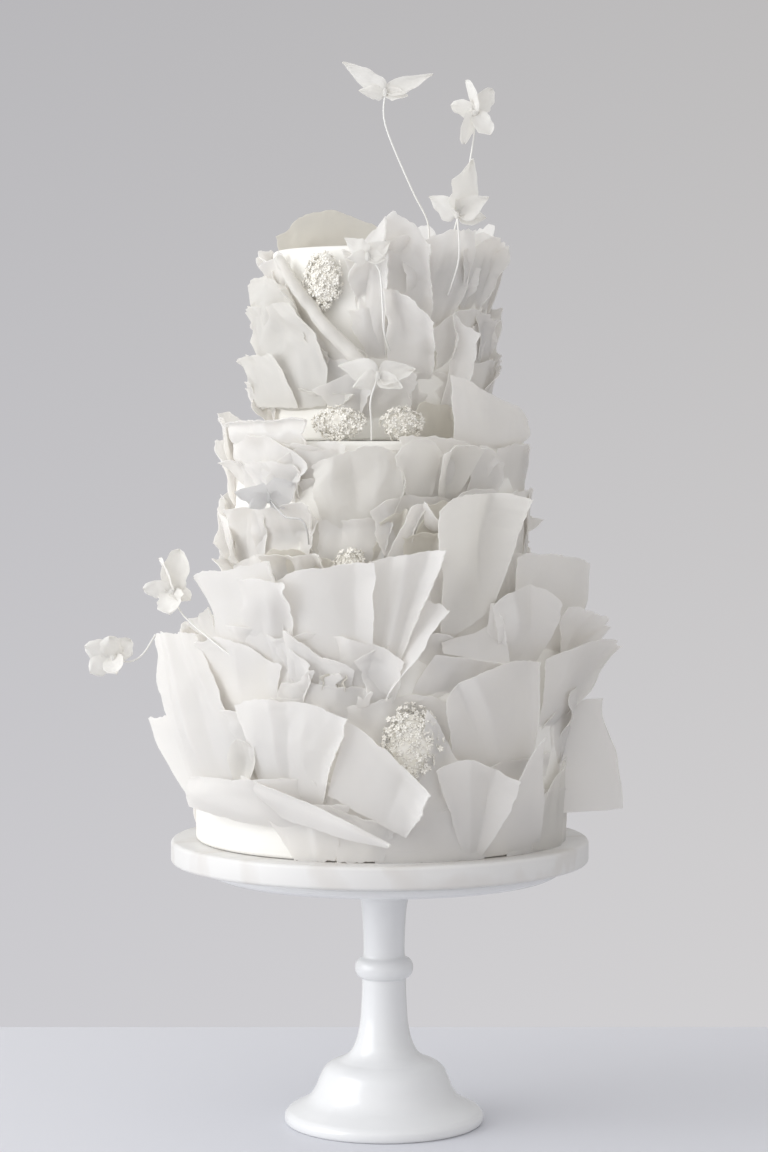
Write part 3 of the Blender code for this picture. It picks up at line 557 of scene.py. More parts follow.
# Small sheets
# Scraps of the same wafer paper, stuck close to the icing between the big sheets and all round the back.
# Most are white. A few, in the hollows and at the left of the top tier, are of ivory or warmer paper, whose
# darker tone is partly the paper's own tint and partly painted shade.
SCRAPS_BOTTOM = {
    "back_panel": (BOTTOM, (17, 335, -2), (32, 335, -2), (35, 385, 0), (15, 400, 0),
        dict(cup=0, ruffle=0, crumple=0.5, right_roll=0)),
    "far_wing": (BOTTOM, (72, 318, -2), (88, 318, -2), (90, 358, 36), (61, 374, 20), dict()),
    "gap_left": (BOTTOM, (-69, 335, -2), (-54, 335, -2), (-60, 373, 4), (-69, 363, 8), dict()),
    "foot_left": (BOTTOM, (-24.8, 206, 1.5), (-13.9, 207, 1.5), (-9.8, 244, 4), (-34, 241, 4),
        dict(sunk=0, cup=2, ruffle=3, right_roll=0, crumple=1,
            marks=creased(3, 0, (0.5, 0.45, 0), (0.55, 0.62, 4)))),
    "foot_mid": (BOTTOM, (-11.5, 206, 1.5), (0.1, 207, 1.5), (3.5, 231, 4), (-12.7, 244, 4),
        dict(sunk=0, cup=1, ruffle=2, right_roll=0, left_roll=1, crumple=0.5)),
    "curl_a": (BOTTOM, (-25.4, 312, 0), (-22.6, 314, 1), (-17.2, 337, 12), (-21.4, 333, 9),
        UNROLLED | dict(cup=1, ruffle=1, crumple=0.3, creases=1, crease_depth=0)),
    "curl_b": (BOTTOM, (-19, 310, 0), (-14.5, 310, 1), (-9.7, 331, 9), (-16.3, 334, 6),
        UNROLLED | dict(cup=1, ruffle=1, crumple=0.3, creases=1, crease_depth=0)),
    "curl_c": (BOTTOM, (-5.1, 304, 0), (-3.3, 307, 1), (-2.3, 321, 12), (-6.4, 316, 9),
        UNROLLED | dict(cup=1, ruffle=1, crumple=0.3, creases=1, crease_depth=0)),
    "under_lip": (BOTTOM, (7.5, 311, -1), (35.8, 314, -1), (36.6, 337, 16), (15.7, 347, 8),
        STRAIGHT | UNROLLED | dict(cup=2, ruffle=2, ragged=1.2)),
    "fill_left_high": (BOTTOM, (-66, 286, -1), (-34, 290, -1), (-32, 346, 6), (-66, 348, 8),
        UNROLLED | dict(bow=4, cup=2, ruffle=2, crumple=0.6)),
    "fill_left_low": (BOTTOM, (-56, 232, -1), (-22, 232, -1), (-22, 276, 1), (-54, 276, 1),
        UNROLLED | dict(bow=2, cup=0, ruffle=1, crumple=0.4)),
    "gap_mid": (BOTTOM, (13.5, 340, -1), (23, 342, -1), (23.5, 400, 0), (14.3, 404, 1),
        dict(cup=0, ruffle=0, crumple=0.5)),
    "under_cup": (BOTTOM, (27.3, 246, -1), (58.5, 243, -1), (60.7, 273, 1), (26.8, 265, 1),
        UNROLLED | dict(cup=0, ruffle=0, crumple=0.2, crease_depth=0.4)),
    "under_fold": (BOTTOM, (-29.7, 289, -1), (-5.2, 291, -1), (-4.4, 326, 4), (-28.2, 327, 5),
        dict(cup=2, ruffle=3)),
    "wedge_right": (BOTTOM, (30.8, 350, 6), (37.2, 343, 12), (34.9, 366, 15), (32.3, 381, 9),
        STRAIGHT | UNROLLED | dict(cup=1, ruffle=1, ragged=1.5, crumple=0.3)),
    "under_kite": (BOTTOM, (-16.4, 216, -1), (6.1, 217, -1), (3.6, 255, 2), (-15.9, 261, 2),
        UNROLLED | dict(cup=0, ruffle=1, crumple=0.4)),
    "foot_right": (BOTTOM, (44, 205.5, 1.5), (84, 205.5, 1.5), (86, 246, 3), (44, 250, 2),
        UNROLLED | dict(sunk=0, cup=0, ruffle=1, crumple=0.3, crease_depth=0.6)),
    "foot_mid_right": (BOTTOM, (1, 205.5, 1.5), (30, 205.5, 1.5), (34, 246, 2.5), (3, 236, 2.5),
        UNROLLED | dict(sunk=0, cup=0, ruffle=1, crumple=0.3, crease_depth=0.6)),
    "flap_left": (BOTTOM, (-43, 340, -2), (-27, 338, -2), (-24, 394, 19), (-38, 399, 18), dict(bow=-3)),
}
SCRAPS_MIDDLE = {
    "right_beige": (MIDDLE, (50, 446, -1), (76, 446, 0), (78, 485, 4), (49, 486, 5),
        dict(cup=2, ruffle=2, crumple=1.2, right_roll=0, round_left=0.1, round_right=0.1)),
    "smooth_side": (MIDDLE, (73, 447, -1), (104, 449, -1), (107, 486, 4), (72, 483, 2),
        dict(cup=2, ruffle=3, crumple=1.2)),
    "smooth_low": (MIDDLE, (56, 389, -1), (82, 388, -1), (84, 454, 2), (54, 452, 2),
        dict(cup=2, ruffle=3, crumple=1.2)),
    "smooth_low_side": (MIDDLE, (80, 386, -1), (107, 388, -1), (108, 456, 4), (81, 452, 3),
        dict(cup=2, ruffle=3)),
    "white_wedge": (MIDDLE, (-22.6, 393, -1), (-1.4, 395, -1), (2.4, 436, 3), (-21.6, 434, 3),
        dict(cup=2, ruffle=2, crumple=1)),
    "under_ledge": (MIDDLE, (-29.4, 461, -1), (8.6, 461, -1), (9, 484, 2), (-31.5, 484, 3),
        dict(cup=2, ruffle=2, crumple=1, bow=-2)),
    "lobe_left": (MIDDLE, (-68, 455, -2), (-60, 452, -2), (-60, 475, 6), (-66, 472, 14), dict()),
    "strip_left": (MIDDLE, (-30, 405, -2), (-24, 403, -2), (-22, 462, 4), (-30, 460, 3), dict()),
}
SCRAPS_TOP = {
    "left_under": (TOP, (-84, 522, -1), (-46, 520, -1), (-48, 575, 2), (-80, 578, 3),
        dict(cup=2, ruffle=2)),
    "left_wisp": (TOP, (-89.2, 510, 12), (-89.2, 509, 9), (-80.1, 528, 14), (-89.2, 527, 18),
        dict(cup=3, ruffle=4, ragged=3, crumple=1.2, right_roll=0)),
    "spike_left": (TOP, (-89.2, 526, -1), (-77.1, 520, -1), (-89.2, 572, 5), (-89.2, 572, 12),
        dict(cup=2, ruffle=3, ragged=4.5, right_roll=0)),
    "cream_mid": (TOP, (-38.5, 513, -1), (-4, 512, -1), (-6.6, 548, 5), (-31, 564, 6),
        dict(cup=2, ruffle=3, bow=2)),
    "pale_mid": (TOP, (-89.2, 514, -1), (-34.5, 511, -1), (-30, 548, 2), (-80, 545, 2),
        dict(cup=1, ruffle=1, bow=2)),
    "top_edge_left": (TOP, (-80, 575, -2), (-54, 560, -2), (-55, 623, 4), (-67, 611, 8), dict()),
    "top_low_right": (TOP, (55, 520, -2), (84, 520, -2), (88, 572, 6), (56, 571, 3), dict()),
    "top_back_right": (TOP, (95, 600, -2), (130, 600, -2), (126, 637, 5), (99, 641, 7),
        dict(bow=6, round_left=0.3, round_right=0.3)),
    "top_back_mid": (TOP, (140, 600, -2), (175, 600, -2), (168, 640, 4), (148, 640, 4),
        dict(bow=8, round_left=0.3, round_right=0.3)),
}
# Ivory scraps: the hollow petal at the lower left and foot_shade at the lower right are sheets put where
# there is only shade, as painted shade; the two at the top tier's left are partly cream tint and partly
# painted shade.
SCRAPS_IVORY_AND_SHADE = {
    "hollow_shade_petal": (BOTTOM, (-44.2, 253, 9), (-41, 253, 9), (-35.9, 282, 11), (-45.2, 282, 14),
        UNROLLED | dict(taper=0.6, cup=2, ruffle=1, crumple=0.4, ragged=1.2, bow=5, round_left=0.3,
            round_right=0.3, belly=-4)),
    "foot_shade": (BOTTOM, (52.9, 207, 2), (70.3, 205, 3), (73.8, 269, 5), (57.5, 247, 5),
        UNROLLED | dict(cup=1, ruffle=1, crumple=0.4, ragged=2, sunk=0)),
    "left_layer": (TOP, (-89.2, 511, 10), (-32.7, 512, 5), (-47.8, 585, 12), (-89.2, 581, 17),
        dict(cup=4, ruffle=5, ragged=2.6, crumple=3.4, right=9, right_roll=6,
            marks=creased(4, 4, (0.25, 0.12, -3), (0.42, 0.4, 3), (0.6, 0.62, -2), (0.82, 0.85, 2)))),
    "left_front": (TOP, (-89.2, 513, 14), (-46, 511, 10), (-57.2, 549, 16), (-89.2, 544, 20),
        dict(cup=3, ruffle=5, ragged=3, crumple=2.6, right=3, right_roll=1)),
}
# Warm scraps: their darker, warmer paper is partly the paper's own tint and partly painted shade in the
# hollows, under the top tier and at the back; shade_right, fold_shade and the brown triangle stand only for
# shade on the sheets behind them.
SCRAPS_WARM_AND_SHADE = {
    "top_back_left": (TOP, (-178, 600, -2), (-118, 600, -2), (-120, 640, 3), (-178, 648, 3),
        dict(bow=10, cup=3)),
    "brown_inside": (MIDDLE, (13.8, 415, 6), (26, 417, 6), (25.4, 444, 11), (15.2, 445, 11),
        dict(cup=0, ruffle=1, crumple=0.5)),
    "brown_triangle": (MIDDLE, (10.7, 397, 4), (19.4, 397, 4), (20.9, 425, 13), (9.9, 425, 12),
        dict(cup=2, ruffle=2, crumple=0.5)),
    "olive_wedge": (MIDDLE, (-2.9, 399, -1), (4.7, 399, -1), (10.1, 443, 6), (0.5, 433, 5),
        dict(cup=2, ruffle=2)),
    "warm_petal": (MIDDLE, (-45.3, 375, 3), (-25.7, 380, 3), (-21.7, 410, 13), (-42.3, 412, 16),
        dict(bow=5, round_left=0.3, round_right=0.3, crumple=0.6)),
    "warm_petal_low": (MIDDLE, (-28.2, 381, 3), (-15.4, 383, 3), (-11.8, 402, 11), (-24.1, 407, 12),
        dict(cup=4, bow=4, crumple=0.6)),
    "shade_right": (TOP, (19.7, 484, 2), (39.8, 484, 2), (36.8, 515, 7), (19.4, 513, 7),
        dict(cup=0, ruffle=0, crumple=0.5)),
    "fold_shade": (BOTTOM, (-17.9, 311, -1), (-9.9, 311, -1), (-9.5, 334, 5), (-16.3, 331, 6),
        dict(cup=3, ruffle=3)),
}


def back_sheets(prefix, tier, levels, count, start, end, seed):
    """Rows of sheets round the back of a tier, uneven in height and lean."""
    chance = random.Random(seed)
    found = {}
    width = (end - start) / count
    for level, (foot, rim, reach) in enumerate(levels):
        for i in range(count):
            left = start + width * (i + 0.25 * level) + chance.uniform(0.0, 3.0)
            right = left + width * chance.uniform(0.62, 0.78)
            lean = chance.uniform(-6.0, 6.0)
            flare = chance.uniform(0.05, 0.12) * width
            top_left = rim + chance.uniform(-12.0, 6.0)
            top_right = rim + chance.uniform(-12.0, 6.0)
            found["%s_%d_%d" % (prefix, level, i)] = (
                tier,
                (left, foot, -2),
                (right, foot, -2),
                (right + flare + lean, top_right, reach + chance.uniform(-3.0, 6.0)),
                (left - flare + lean, top_left, reach + chance.uniform(-3.0, 6.0)),
                dict(bow=chance.uniform(0.0, 6.0)),
            )
    return found


def close_sheets(tier, levels, count, reach, spans, seed):
    """Rows of small sheets close to the icing over some spans of a tier, uneven in place, size and lean."""
    chance = random.Random(seed)
    width = 360.0 / count
    sway = 5.0 + 1.4 * reach
    found = []
    for level, (foot, rim) in enumerate(levels):
        for i in range(count):
            middle = -180.0 + width * (i + 0.5 * (level % 2)) + chance.uniform(-0.2, 0.2) * width
            half = width * chance.uniform(0.5, 0.72)
            lean = chance.uniform(-0.25, 0.25) * width
            low = foot + chance.uniform(-4.0, 6.0)
            high = rim + chance.uniform(-1.0, 0.8) * sway
            tilt = chance.uniform(-1.0, 1.0) * sway
            out = reach + chance.uniform(-0.3, 0.6) * reach
            centre = (foot + rim) / 2.0
            if not any(a <= middle <= b and bottom <= centre <= top for a, b, bottom, top in spans):
                continue
            found.append((
                tier,
                (middle - 0.6 * half, low, -2),
                (middle + 0.6 * half, low, -2),
                (middle + half + lean, high + tilt, out + chance.uniform(-1.0, 3.0)),
                (middle - half + lean, high - tilt, out + chance.uniform(-1.0, 3.0)),
                dict(bow=chance.uniform(2.0, 8.0)),
            ))
    return found


LOW_LEVELS = ((207, 258), (250, 306), (296, 352))
MID_LEVELS = ((350, 398), (390, 440), (432, 484))
HIGH_LEVELS = ((490, 536), (528, 578), (568, 618))
LOW_SPANS = ((-181, -84, 200, 350), (84, 181, 200, 350))
SCRAPS_BOTTOM.update(back_sheets("low_back", BOTTOM, ((209, 282, 10), (292, 366, 9)), 4, 98, 262, 5))
SCRAPS_MIDDLE.update(back_sheets("mid_back", MIDDLE, ((402, 446, 9), (452, 500, 8)), 3, 110, 280, 6))
SCRAPS_TOP.update(back_sheets("high_back", TOP, ((500, 585, 8),), 4, 98, 255, 7))
low_rows = list(SCRAPS_BOTTOM.values())
low_rows += close_sheets(BOTTOM, LOW_LEVELS, 14, 8.0, LOW_SPANS, 21)
low_rows += close_sheets(BOTTOM, LOW_LEVELS, 15, 3.0, ((-84, 12, 250, 350), (62, 84, 250, 350)), 22)
mid_rows = close_sheets(MIDDLE, MID_LEVELS, 12, 8.0, ((-181, -70, 340, 480), (108, 181, 340, 480)), 23)
mid_rows += close_sheets(
    MIDDLE, MID_LEVELS, 14, 3.0, ((-70, -24, 340, 480), (10, 108, 340, 480), (-24, 10, 340, 400)), 24
)
# Four broad plain sheets cover the right side of this tier, so the ragged ones with their foot there go
PLAIN_START, PLAIN_END, PLAIN_LOW, PLAIN_HIGH = 44.0, 113.0, 380.0, 470.0
mid_rows = [
    row for row in mid_rows
    if not (PLAIN_START < row[1][0] < PLAIN_END and PLAIN_LOW < row[1][1] < PLAIN_HIGH)
]
mid_rows += list(SCRAPS_MIDDLE.values())
high_rows = list(SCRAPS_TOP.values())
high_rows += close_sheets(TOP, HIGH_LEVELS, 10, 7.0, ((-181, -98, 480, 610), (98, 181, 480, 610)), 25)
high_rows += close_sheets(
    TOP, HIGH_LEVELS, 12, 3.5, ((-98, -84, 480, 610), (-32, 98, 480, 540), (-5, 98, 530, 610)), 26
)
SCRAP_LOOK = dict(CRUMPLED_LOOK, step=2.2, cup=5.0, ruffle=6.0, right_roll=3.0, left_roll=2.0, side_curl=0.0)
FIRST_SEED = 200.0
GROUP_SEED = 60.0
SCRAP_SEED = 5.3
for scrap_group, (scraps_name, scrap_rows, scrap_paper) in enumerate((
    ("scraps_bottom", low_rows, paper),
    ("scraps_middle", mid_rows, paper),
    ("scraps_top", high_rows, paper),
    # The warm group carries painted shade as well as the paper's own warm tint.
    ("scraps_warm_and_shade", list(SCRAPS_WARM_AND_SHADE.values()), warm_and_painted_shade_paper),
    # The ivory group carries painted shade as well as the paper's own cream tint.
    ("scraps_ivory_and_shade", list(SCRAPS_IVORY_AND_SHADE.values()), ivory_and_painted_shade_paper),
)):
    scrap_mesh = bmesh.new()
    for scrap_number, scrap_row in enumerate(scrap_rows):
        scrap_seed = FIRST_SEED + GROUP_SEED * scrap_group + SCRAP_SEED * scrap_number
        paper_sheet(scrap_mesh, scrap_row, scrap_seed, SCRAP_LOOK)
    thick_paper(scrap_mesh, PAPER_THICKNESS)
    finish_piece("wafer_" + scraps_name, scrap_mesh, scrap_paper)


# Dried flower bunches
# Tiny cream flower heads with five cupped petals each, packed close on a small bunch of stalks.
# The bunches are tucked between the sheets and pressed into the icing.
dried, dried_shader = plain_material("dried_blossom", (0.84, 0.81, 0.72), 0.75)
dried_place = object_place(dried)
dried_tone = add_node(dried, "ShaderNodeTexNoise", dried_place, Scale=320.0, Detail=2.0)
tint_by(dried, dried_tone.outputs["Fac"], (0.83, 0.79, 0.70), (0.93, 0.915, 0.875), dried_shader)
dried_ribs = add_node(dried, "ShaderNodeTexNoise", dried_place, Scale=900.0, Detail=3.0)
bumped(dried, dried_ribs.outputs["Fac"], 0.4, 0.0004, dried_shader)
PETALS = 5
HEAD_TRIES = 1500
HEAD_SPACING = 0.0031
BACK_OF_BUNCH = 0.35
MOUND_WIDE = 0.00078
MOUND_DEEP = 0.00082


def add_floret(bm, place, facing, size, chance):
    """One flower head: five small cupped petals round a bead, facing along a direction."""
    turn = facing.to_track_quat("Z", "Y").to_matrix().to_4x4()
    base = Matrix.Translation(place) @ turn @ Matrix.Rotation(chance.uniform(0.0, 6.28), 4, "Z")
    bead = Matrix.Diagonal((0.22, 0.22, 0.2, 1.0))
    bmesh.ops.create_icosphere(bm, subdivisions=1, radius=size, matrix=base @ bead)
    for petal in range(PETALS):
        spin = Matrix.Rotation(petal * 2.0 * math.pi / PETALS + chance.uniform(-0.2, 0.2), 4, "Z")
        rise = Matrix.Rotation(-chance.uniform(0.05, 0.6), 4, "Y")
        shape = Matrix.Diagonal((0.5, 0.36, 0.1, 1.0))
        ahead = Matrix.Translation((size * 0.48, 0.0, 0.0))
        petal_place = base @ spin @ rise @ ahead @ shape
        bmesh.ops.create_icosphere(bm, subdivisions=1, radius=size, matrix=petal_place)


def flower_bunch(name, tier, angle, height, out, half, seed, narrowing=0.35):
    """A bunch of flower heads over an oval mound, close together and a little uneven."""
    chance = random.Random(seed)
    turn = math.radians(angle)
    reach = tier + out / 1000.0
    centre = Vector((CAKE_X + reach * math.sin(turn), -reach * math.cos(turn), height / 1000.0))
    facing = Matrix.Rotation(turn, 3, "Z")
    bm = bmesh.new()
    core = Matrix.Translation(centre) @ facing.to_4x4() @ Matrix.Diagonal(
        (half[0] * MOUND_WIDE, half[1] * MOUND_DEEP, half[2] * MOUND_WIDE, 1.0)
    )
    mound = bmesh.ops.create_icosphere(bm, subdivisions=3, radius=1.0, matrix=core)
    for vert in mound["verts"]:
        drop = min(0.0, (vert.co.z - centre.z) * 1000.0 / half[2])
        side = vert.co - centre
        vert.co = centre + Vector((side.x * (1.0 + narrowing * drop), side.y, side.z))
    heads = []
    for _ in range(HEAD_TRIES):
        way = Vector((chance.gauss(0, 1), chance.gauss(0, 1), chance.gauss(0, 1))).normalized()
        if way.y > BACK_OF_BUNCH:
            continue
        depth = chance.uniform(0.74, 1.04)
        local = Vector((way.x * half[0], way.y * half[1], way.z * half[2])) * depth / 1000.0
        if way.z < 0.0:
            local.x *= 1.0 + narrowing * way.z
        if all((local - other).length > HEAD_SPACING for other in heads):
            heads.append(local)
            outward = Vector((way.x / half[0], way.y / half[1], way.z / half[2])).normalized()
            outward = (outward + Vector([chance.uniform(-0.3, 0.3) for _ in range(3)])).normalized()
            add_floret(bm, centre + facing @ local, facing @ outward, chance.uniform(0.0021, 0.0034), chance)
    finish_piece("bunch_" + name, bm, dried, ("flowers_" + name,))


flower_bunch("top", TOP, -28.5, 597, 5, (14.5, 5, 20), 11)
flower_bunch("ledge_left", TOP, -16.5, 499.2, 19, (19, 7, 11.5), 12)
flower_bunch("ledge_mid", TOP, 9.5, 498.8, 19, (15, 7, 11.5), 13)
flower_bunch("middle", MIDDLE, -10, 403, 8.5, (12, 8, 12), 14)
flower_bunch("pocket", BOTTOM, 9.0, 283, 6.5, (20, 6.5, 29), 15, 0.75)


# Butterflies and blossoms
# Wings and petals cut from the same thin paper, pinched onto a bead and carried by a bent covered wire.
# The wires are pushed into the icing or hooked over a sheet.
WING_THICKNESS = 0.0004
WIRE_RADIUS = 0.00065
BEAD_HALF = 0.0009


def wing_material(name, dark, light, glow):
    """Thin wing paper: softly mottled, with faint veins, and lit through from behind."""
    sheet, shader = plain_material(name, light, 0.6)
    place = object_place(sheet)
    tone = add_node(sheet, "ShaderNodeTexNoise", place, Scale=60.0, Detail=3.0)
    tint_by(sheet, tone.outputs["Fac"], dark, light, shader)
    lit_through(sheet, shader, glow, 0.55)
    vein = add_node(sheet, "ShaderNodeTexNoise", place, Scale=240.0, Detail=4.0)
    bumped(sheet, vein.outputs["Fac"], 0.3, 0.0005, shader)
    return sheet


def wire_material(name, dark, light):
    """Paper tape wound round a wire."""
    tape, shader = plain_material(name, light, 0.5)
    place = object_place(tape)
    wrap = add_node(tape, "ShaderNodeTexNoise", place, Scale=700.0, Detail=2.0)
    tint_by(tape, wrap.outputs["Fac"], dark, light, shader)
    bumped(tape, wrap.outputs["Fac"], 0.3, 0.0003, shader)
    return tape


wing = wing_material("wing_paper", (0.89, 0.88, 0.86), (0.94, 0.94, 0.935), (0.96, 0.945, 0.91))
grey_wing = wing_material(
    "grey_wing_paper", (0.855, 0.853, 0.85), (0.90, 0.898, 0.895), (0.90, 0.893, 0.885)
)
covered = wire_material("covered_wire", (0.76, 0.75, 0.71), (0.86, 0.85, 0.82))
grey_covered = wire_material("grey_covered_wire", (0.58, 0.57, 0.555), (0.67, 0.66, 0.645))


def add_wing(bm, length, width, turn, lift, roll, centre, pointed, seed):
    """One wing or petal: a leaf-shaped sheet with a ragged edge, cupped along its length."""
    grid = bmesh.ops.create_grid(bm, x_segments=14, y_segments=10, size=0.5)
    place = Matrix.Rotation(math.radians(turn), 4, "Z")
    place @= Matrix.Rotation(math.radians(-lift), 4, "Y")
    place @= Matrix.Rotation(math.radians(roll), 4, "X")
    for vert in grid["verts"]:
        t = vert.co.x + 0.5
        s = vert.co.y * 2.0
        if pointed:
            breadth = math.sin(math.pi * t ** 0.62) ** 0.8 * (1.0 - 0.25 * t) + 0.05 * (1.0 - t)
        else:
            breadth = (1.0 - (2.0 * max(t, 0.02) ** 0.72 - 1.0) ** 2) ** 0.5
        edge = noise.noise(Vector((t * 5.0, seed, 2.0 * (s > 0.0)))) * 0.14
        y = s * (0.5 * breadth + edge * breadth * abs(s))
        cup = 0.12 * s * s - 0.10 * t * t + 0.05 * noise.noise(Vector((t * 4.0, s * 2.0, seed)))
        vert.co = place @ Vector((t * length * 0.93, y * width, cup * width)) / 1000.0 + centre
    faces = list({f for v in grid["verts"] for f in v.link_faces})
    bmesh.ops.solidify(bm, geom=faces, thickness=WING_THICKNESS)


def add_wire(bm, points, radius):
    """A round wire along a soft curve through the points, given in millimetres."""
    curve = bpy.data.curves.new("wire", "CURVE")
    curve.dimensions = "3D"
    curve.bevel_depth = radius
    curve.bevel_resolution = 3
    curve.use_fill_caps = True
    line = curve.splines.new("POLY")
    path = smooth_run(points, 6)
    line.points.add(len(path) - 1)
    for point, place in zip(line.points, path):
        point.co = (place[0] / 1000.0, place[1] / 1000.0, place[2] / 1000.0, 1.0)
    carrier = bpy.data.objects.new("wire", curve)
    bpy.context.scene.collection.objects.link(carrier)
    tube = bpy.data.meshes.new_from_object(carrier.evaluated_get(bpy.context.evaluated_depsgraph_get()))
    bpy.data.objects.remove(carrier, do_unlink=True)
    before = len(bm.faces)
    bm.from_mesh(tube)
    bm.faces.ensure_lookup_table()
    for face in bm.faces[before:]:
        face.material_index = 1


def spray(name, centre, petals, wire_path, bead=(2.2, 2.2, 4.0), pointed=True, papers=(wing, covered)):
    """A butterfly or a blossom with its wire, in one piece."""
    middle = Vector(centre) / 1000.0
    bm = bmesh.new()
    body = Matrix.Translation(middle) @ Matrix.Diagonal((*(half * BEAD_HALF for half in bead), 1.0))
    bmesh.ops.create_icosphere(bm, subdivisions=3, radius=1.0, matrix=body)
    for number, petal in enumerate(petals):
        add_wing(bm, *petal, middle, pointed, 7.1 * number + centre[2] * 0.01)
    add_wire(bm, [centre] + list(wire_path), WIRE_RADIUS)
    bmesh.ops.recalc_face_normals(bm, faces=bm.faces)
    for edge in bm.edges:
        if len(edge.link_faces) == 2 and edge.calc_face_angle() > CRISP_ANGLE:
            edge.smooth = False
    piece = finish_piece("paper_" + name, bm, papers[0], (name,))
    piece.data.materials.append(papers[1])


spray(
    "butterfly_crown",
    (1, -58, 727),
    [(39, 15, 178, 36, 66), (38, 13, 4, 22, 70), (17, 11, -8, -8, 76), (20, 11, 186, 4, 76)],
    [(1, -56, 705), (19, -51, 662), (30, -48, 640), (31, -47, 621.9)],
)
spray(
    "butterfly_crown_right",
    (50, -74, 642),
    [(45, 25, 40, 70, 80), (25, 17, 172, 34, 74), (27, 17, 4, 30, 72), (22, 15, 12, -4, 76)],
    [(51, -78, 612), (43.9, -67.2, 588)],
    (2.2, 2.2, 3.4),
)
spray(
    "blossom_crown",
    (65, 18, 722),
    [(27, 15, 140, 74, 60), (25, 14, 30, 52, 70), (20, 14, 170, 20, 60),
     (26, 15, 200, -66, 60), (22, 14, 330, -50, 60)],
    [(64, 18, 704), (58, 18, 670), (46, 16, 621.9)],
    (3.0, 3.0, 3.0),
    False,
)
spray(
    "butterfly_top_front",
    (-11, -98, 612),
    [(22, 15, 170, 40, 74), (20, 14, 10, 34, 74), (15, 10, 188, -4, 78), (14, 10, -6, -6, 78)],
    [(-3, -98, 602), (-1, -97, 580), (0, -95, 562), (4, -81, 549)],
)
spray(
    "butterfly_low_top",
    (-4, -110, 531),
    [(30, 19, 172, 16, 70), (28, 18, 6, 12, 72), (20, 13, 190, -22, 74), (20, 13, -10, -24, 74)],
    [(-9, -108, 515), (-8.5, -100, 500), (-8.5, -97, 488.2)],
)
spray(
    "butterfly_middle",
    (-78, -105, 449),
    [(27, 18, 205, 10, 66), (25, 22, 32, 26, 70), (18, 14, 212, -20, 72), (17, 13, 24, -18, 72)],
    [(-67, -111, 437), (-56, -114, 435), (-52, -112, 428), (-51, -99.5, 418)],
    papers=(grey_wing, grey_covered),
)
spray(
    "blossom_left",
    (-146, -66, 384),
    [(33, 19, 60, 74, 30), (29, 17, 130, 60, 50), (22, 14, 186, 8, 62),
     (21, 20, 265, -46, 20), (17, 14, 330, -16, 40)],
    [(-138, -72, 368), (-116, -86, 350), (-98, -94.5, 337)],
    (3.0, 3.0, 3.0),
    False,
)
spray(
    "blossom_far_left",
    (-192, -8, 334),
    [(24, 18, 185, 24, 66), (22, 18, 170, -30, 66), (20, 16, 30, 44, 60),
     (20, 16, 255, 60, 20), (20, 16, 280, -30, 30)],
    [(-182, -6, 331), (-172, -4, 336), (-162.9, -1, 350.2)],
    (3.0, 3.0, 3.0),
    False,
)


# Table, light and camera
# A plain pale table top with its far edge just behind the stand, in a soft grey room.
# One broad window at the left lights the cake.
TABLE_DEPTH = 0.337
TABLE_HALF_WIDTH = 2.5
TABLE_FRONT = 3.0
table_mesh = bmesh.new()
table_place = Matrix.Translation((0.0, (TABLE_DEPTH - TABLE_FRONT) / 2.0, 0.0))
table_size = Matrix.Diagonal((2.0 * TABLE_HALF_WIDTH, TABLE_DEPTH + TABLE_FRONT, 1.0, 1.0))
bmesh.ops.create_grid(table_mesh, x_segments=1, y_segments=1, size=0.5, matrix=table_place @ table_size)
table_data = bpy.data.meshes.new("table_top")
table_mesh.to_mesh(table_data)
table_mesh.free()
table_paint, table_shader = plain_material("pale_table", (0.70, 0.705, 0.745), 0.55)
table_data.materials.append(table_paint)
table_top = bpy.data.objects.new("table_top", table_data)
bpy.context.scene.collection.objects.link(table_top)

room = bpy.data.worlds.new("soft_room")
room.use_nodes = True
room_shader = room.node_tree.nodes["Background"]
room_way = add_node(room, "ShaderNodeTexCoord").outputs["Generated"]
room_split = add_node(room, "ShaderNodeSeparateXYZ", room_way)
room_rise = add_node(room, "ShaderNodeMapRange", From_Min=-0.20, From_Max=0.17)
room_tone = add_node(room, "ShaderNodeMix")
room_tone.data_type = "RGBA"
room_tone.inputs["A"].default_value = (0.605, 0.60, 0.63, 1.0)
room_tone.inputs["B"].default_value = (0.475, 0.47, 0.488, 1.0)
link(room, room_split.outputs["Z"], room_rise.inputs["Value"])
link(room, room_rise.outputs["Result"], room_tone.inputs["Factor"])
room_side = add_node(room, "ShaderNodeMapRange", From_Min=-0.17, From_Max=0.17)
room_warm = add_node(room, "ShaderNodeMix")
room_warm.data_type = "RGBA"
room_warm.blend_type = "MULTIPLY"
room_warm.inputs["B"].default_value = (1.075, 1.065, 1.025, 1.0)
link(room, room_split.outputs["X"], room_side.inputs["Value"])
link(room, room_side.outputs["Result"], room_warm.inputs["Factor"])
link(room, room_tone.outputs["Result"], room_warm.inputs["A"])
link(room, room_warm.outputs["Result"], room_shader.inputs["Color"])
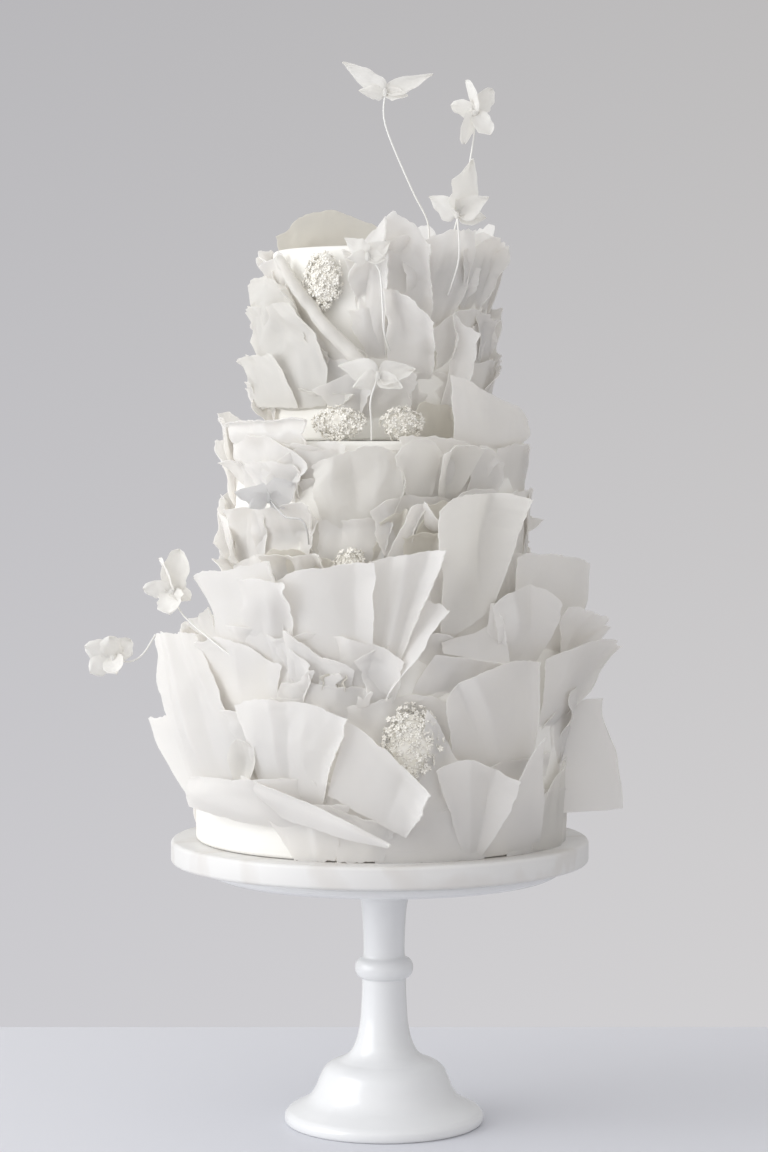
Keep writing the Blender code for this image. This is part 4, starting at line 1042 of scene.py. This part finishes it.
room_fill = add_node(room, "ShaderNodeBackground", Color=(0.985, 0.98, 0.985, 1.0))
room_aim = add_node(room, "ShaderNodeVectorMath")
room_aim.operation = "DOT_PRODUCT"
room_aim.inputs[1].default_value = (-0.62, -0.70, 0.35)
room_fall = add_node(room, "ShaderNodeMapRange", From_Min=-1.0, From_Max=1.0, To_Min=0.44, To_Max=1.07)
link(room, room_way, room_aim.inputs[0])
link(room, room_aim.outputs["Value"], room_fall.inputs["Value"])
link(room, room_fall.outputs["Result"], room_fill.inputs["Strength"])
room_seen = add_node(room, "ShaderNodeLightPath")
room_mix = add_node(room, "ShaderNodeMixShader")
link(room, room_seen.outputs["Is Camera Ray"], room_mix.inputs["Fac"])
link(room, room_fill.outputs["Background"], room_mix.inputs[1])
link(room, room_shader.outputs["Background"], room_mix.inputs[2])
link(room, room_mix.outputs["Shader"], room.node_tree.nodes["World Output"].inputs["Surface"])
bpy.context.scene.world = room
bpy.context.scene.view_settings.view_transform = "Standard"

window_data = bpy.data.lights.new("window", "AREA")
window_data.shape = "RECTANGLE"
window_data.size = 2.3
window_data.size_y = 2.4
window_data.energy = 45.0
window_data.color = (0.955, 0.98, 1.0)
window_light = bpy.data.objects.new("window", window_data)
bpy.context.scene.collection.objects.link(window_light)
WINDOW_PLACE = Vector((-2.4, -0.85, 1.1))
WINDOW_AIM = Vector((0.0, 0.0, 0.38))
window_light.location = WINDOW_PLACE
window_light.rotation_euler = (WINDOW_AIM - WINDOW_PLACE).to_track_quat("-Z", "Y").to_euler()

CAMERA_DISTANCE = 2.050
CAMERA_HEIGHT = 0.4816
CAMERA_DIP = 2.505
camera_data = bpy.data.cameras.new("camera")
camera_data.sensor_width = 36.0
camera_data.lens = 90.0
camera = bpy.data.objects.new("camera", camera_data)
bpy.context.scene.collection.objects.link(camera)
camera.location = (0.0, -CAMERA_DISTANCE, CAMERA_HEIGHT)
camera.rotation_euler = (math.radians(90.0 - CAMERA_DIP), 0.0, 0.0)
bpy.context.scene.camera = camera
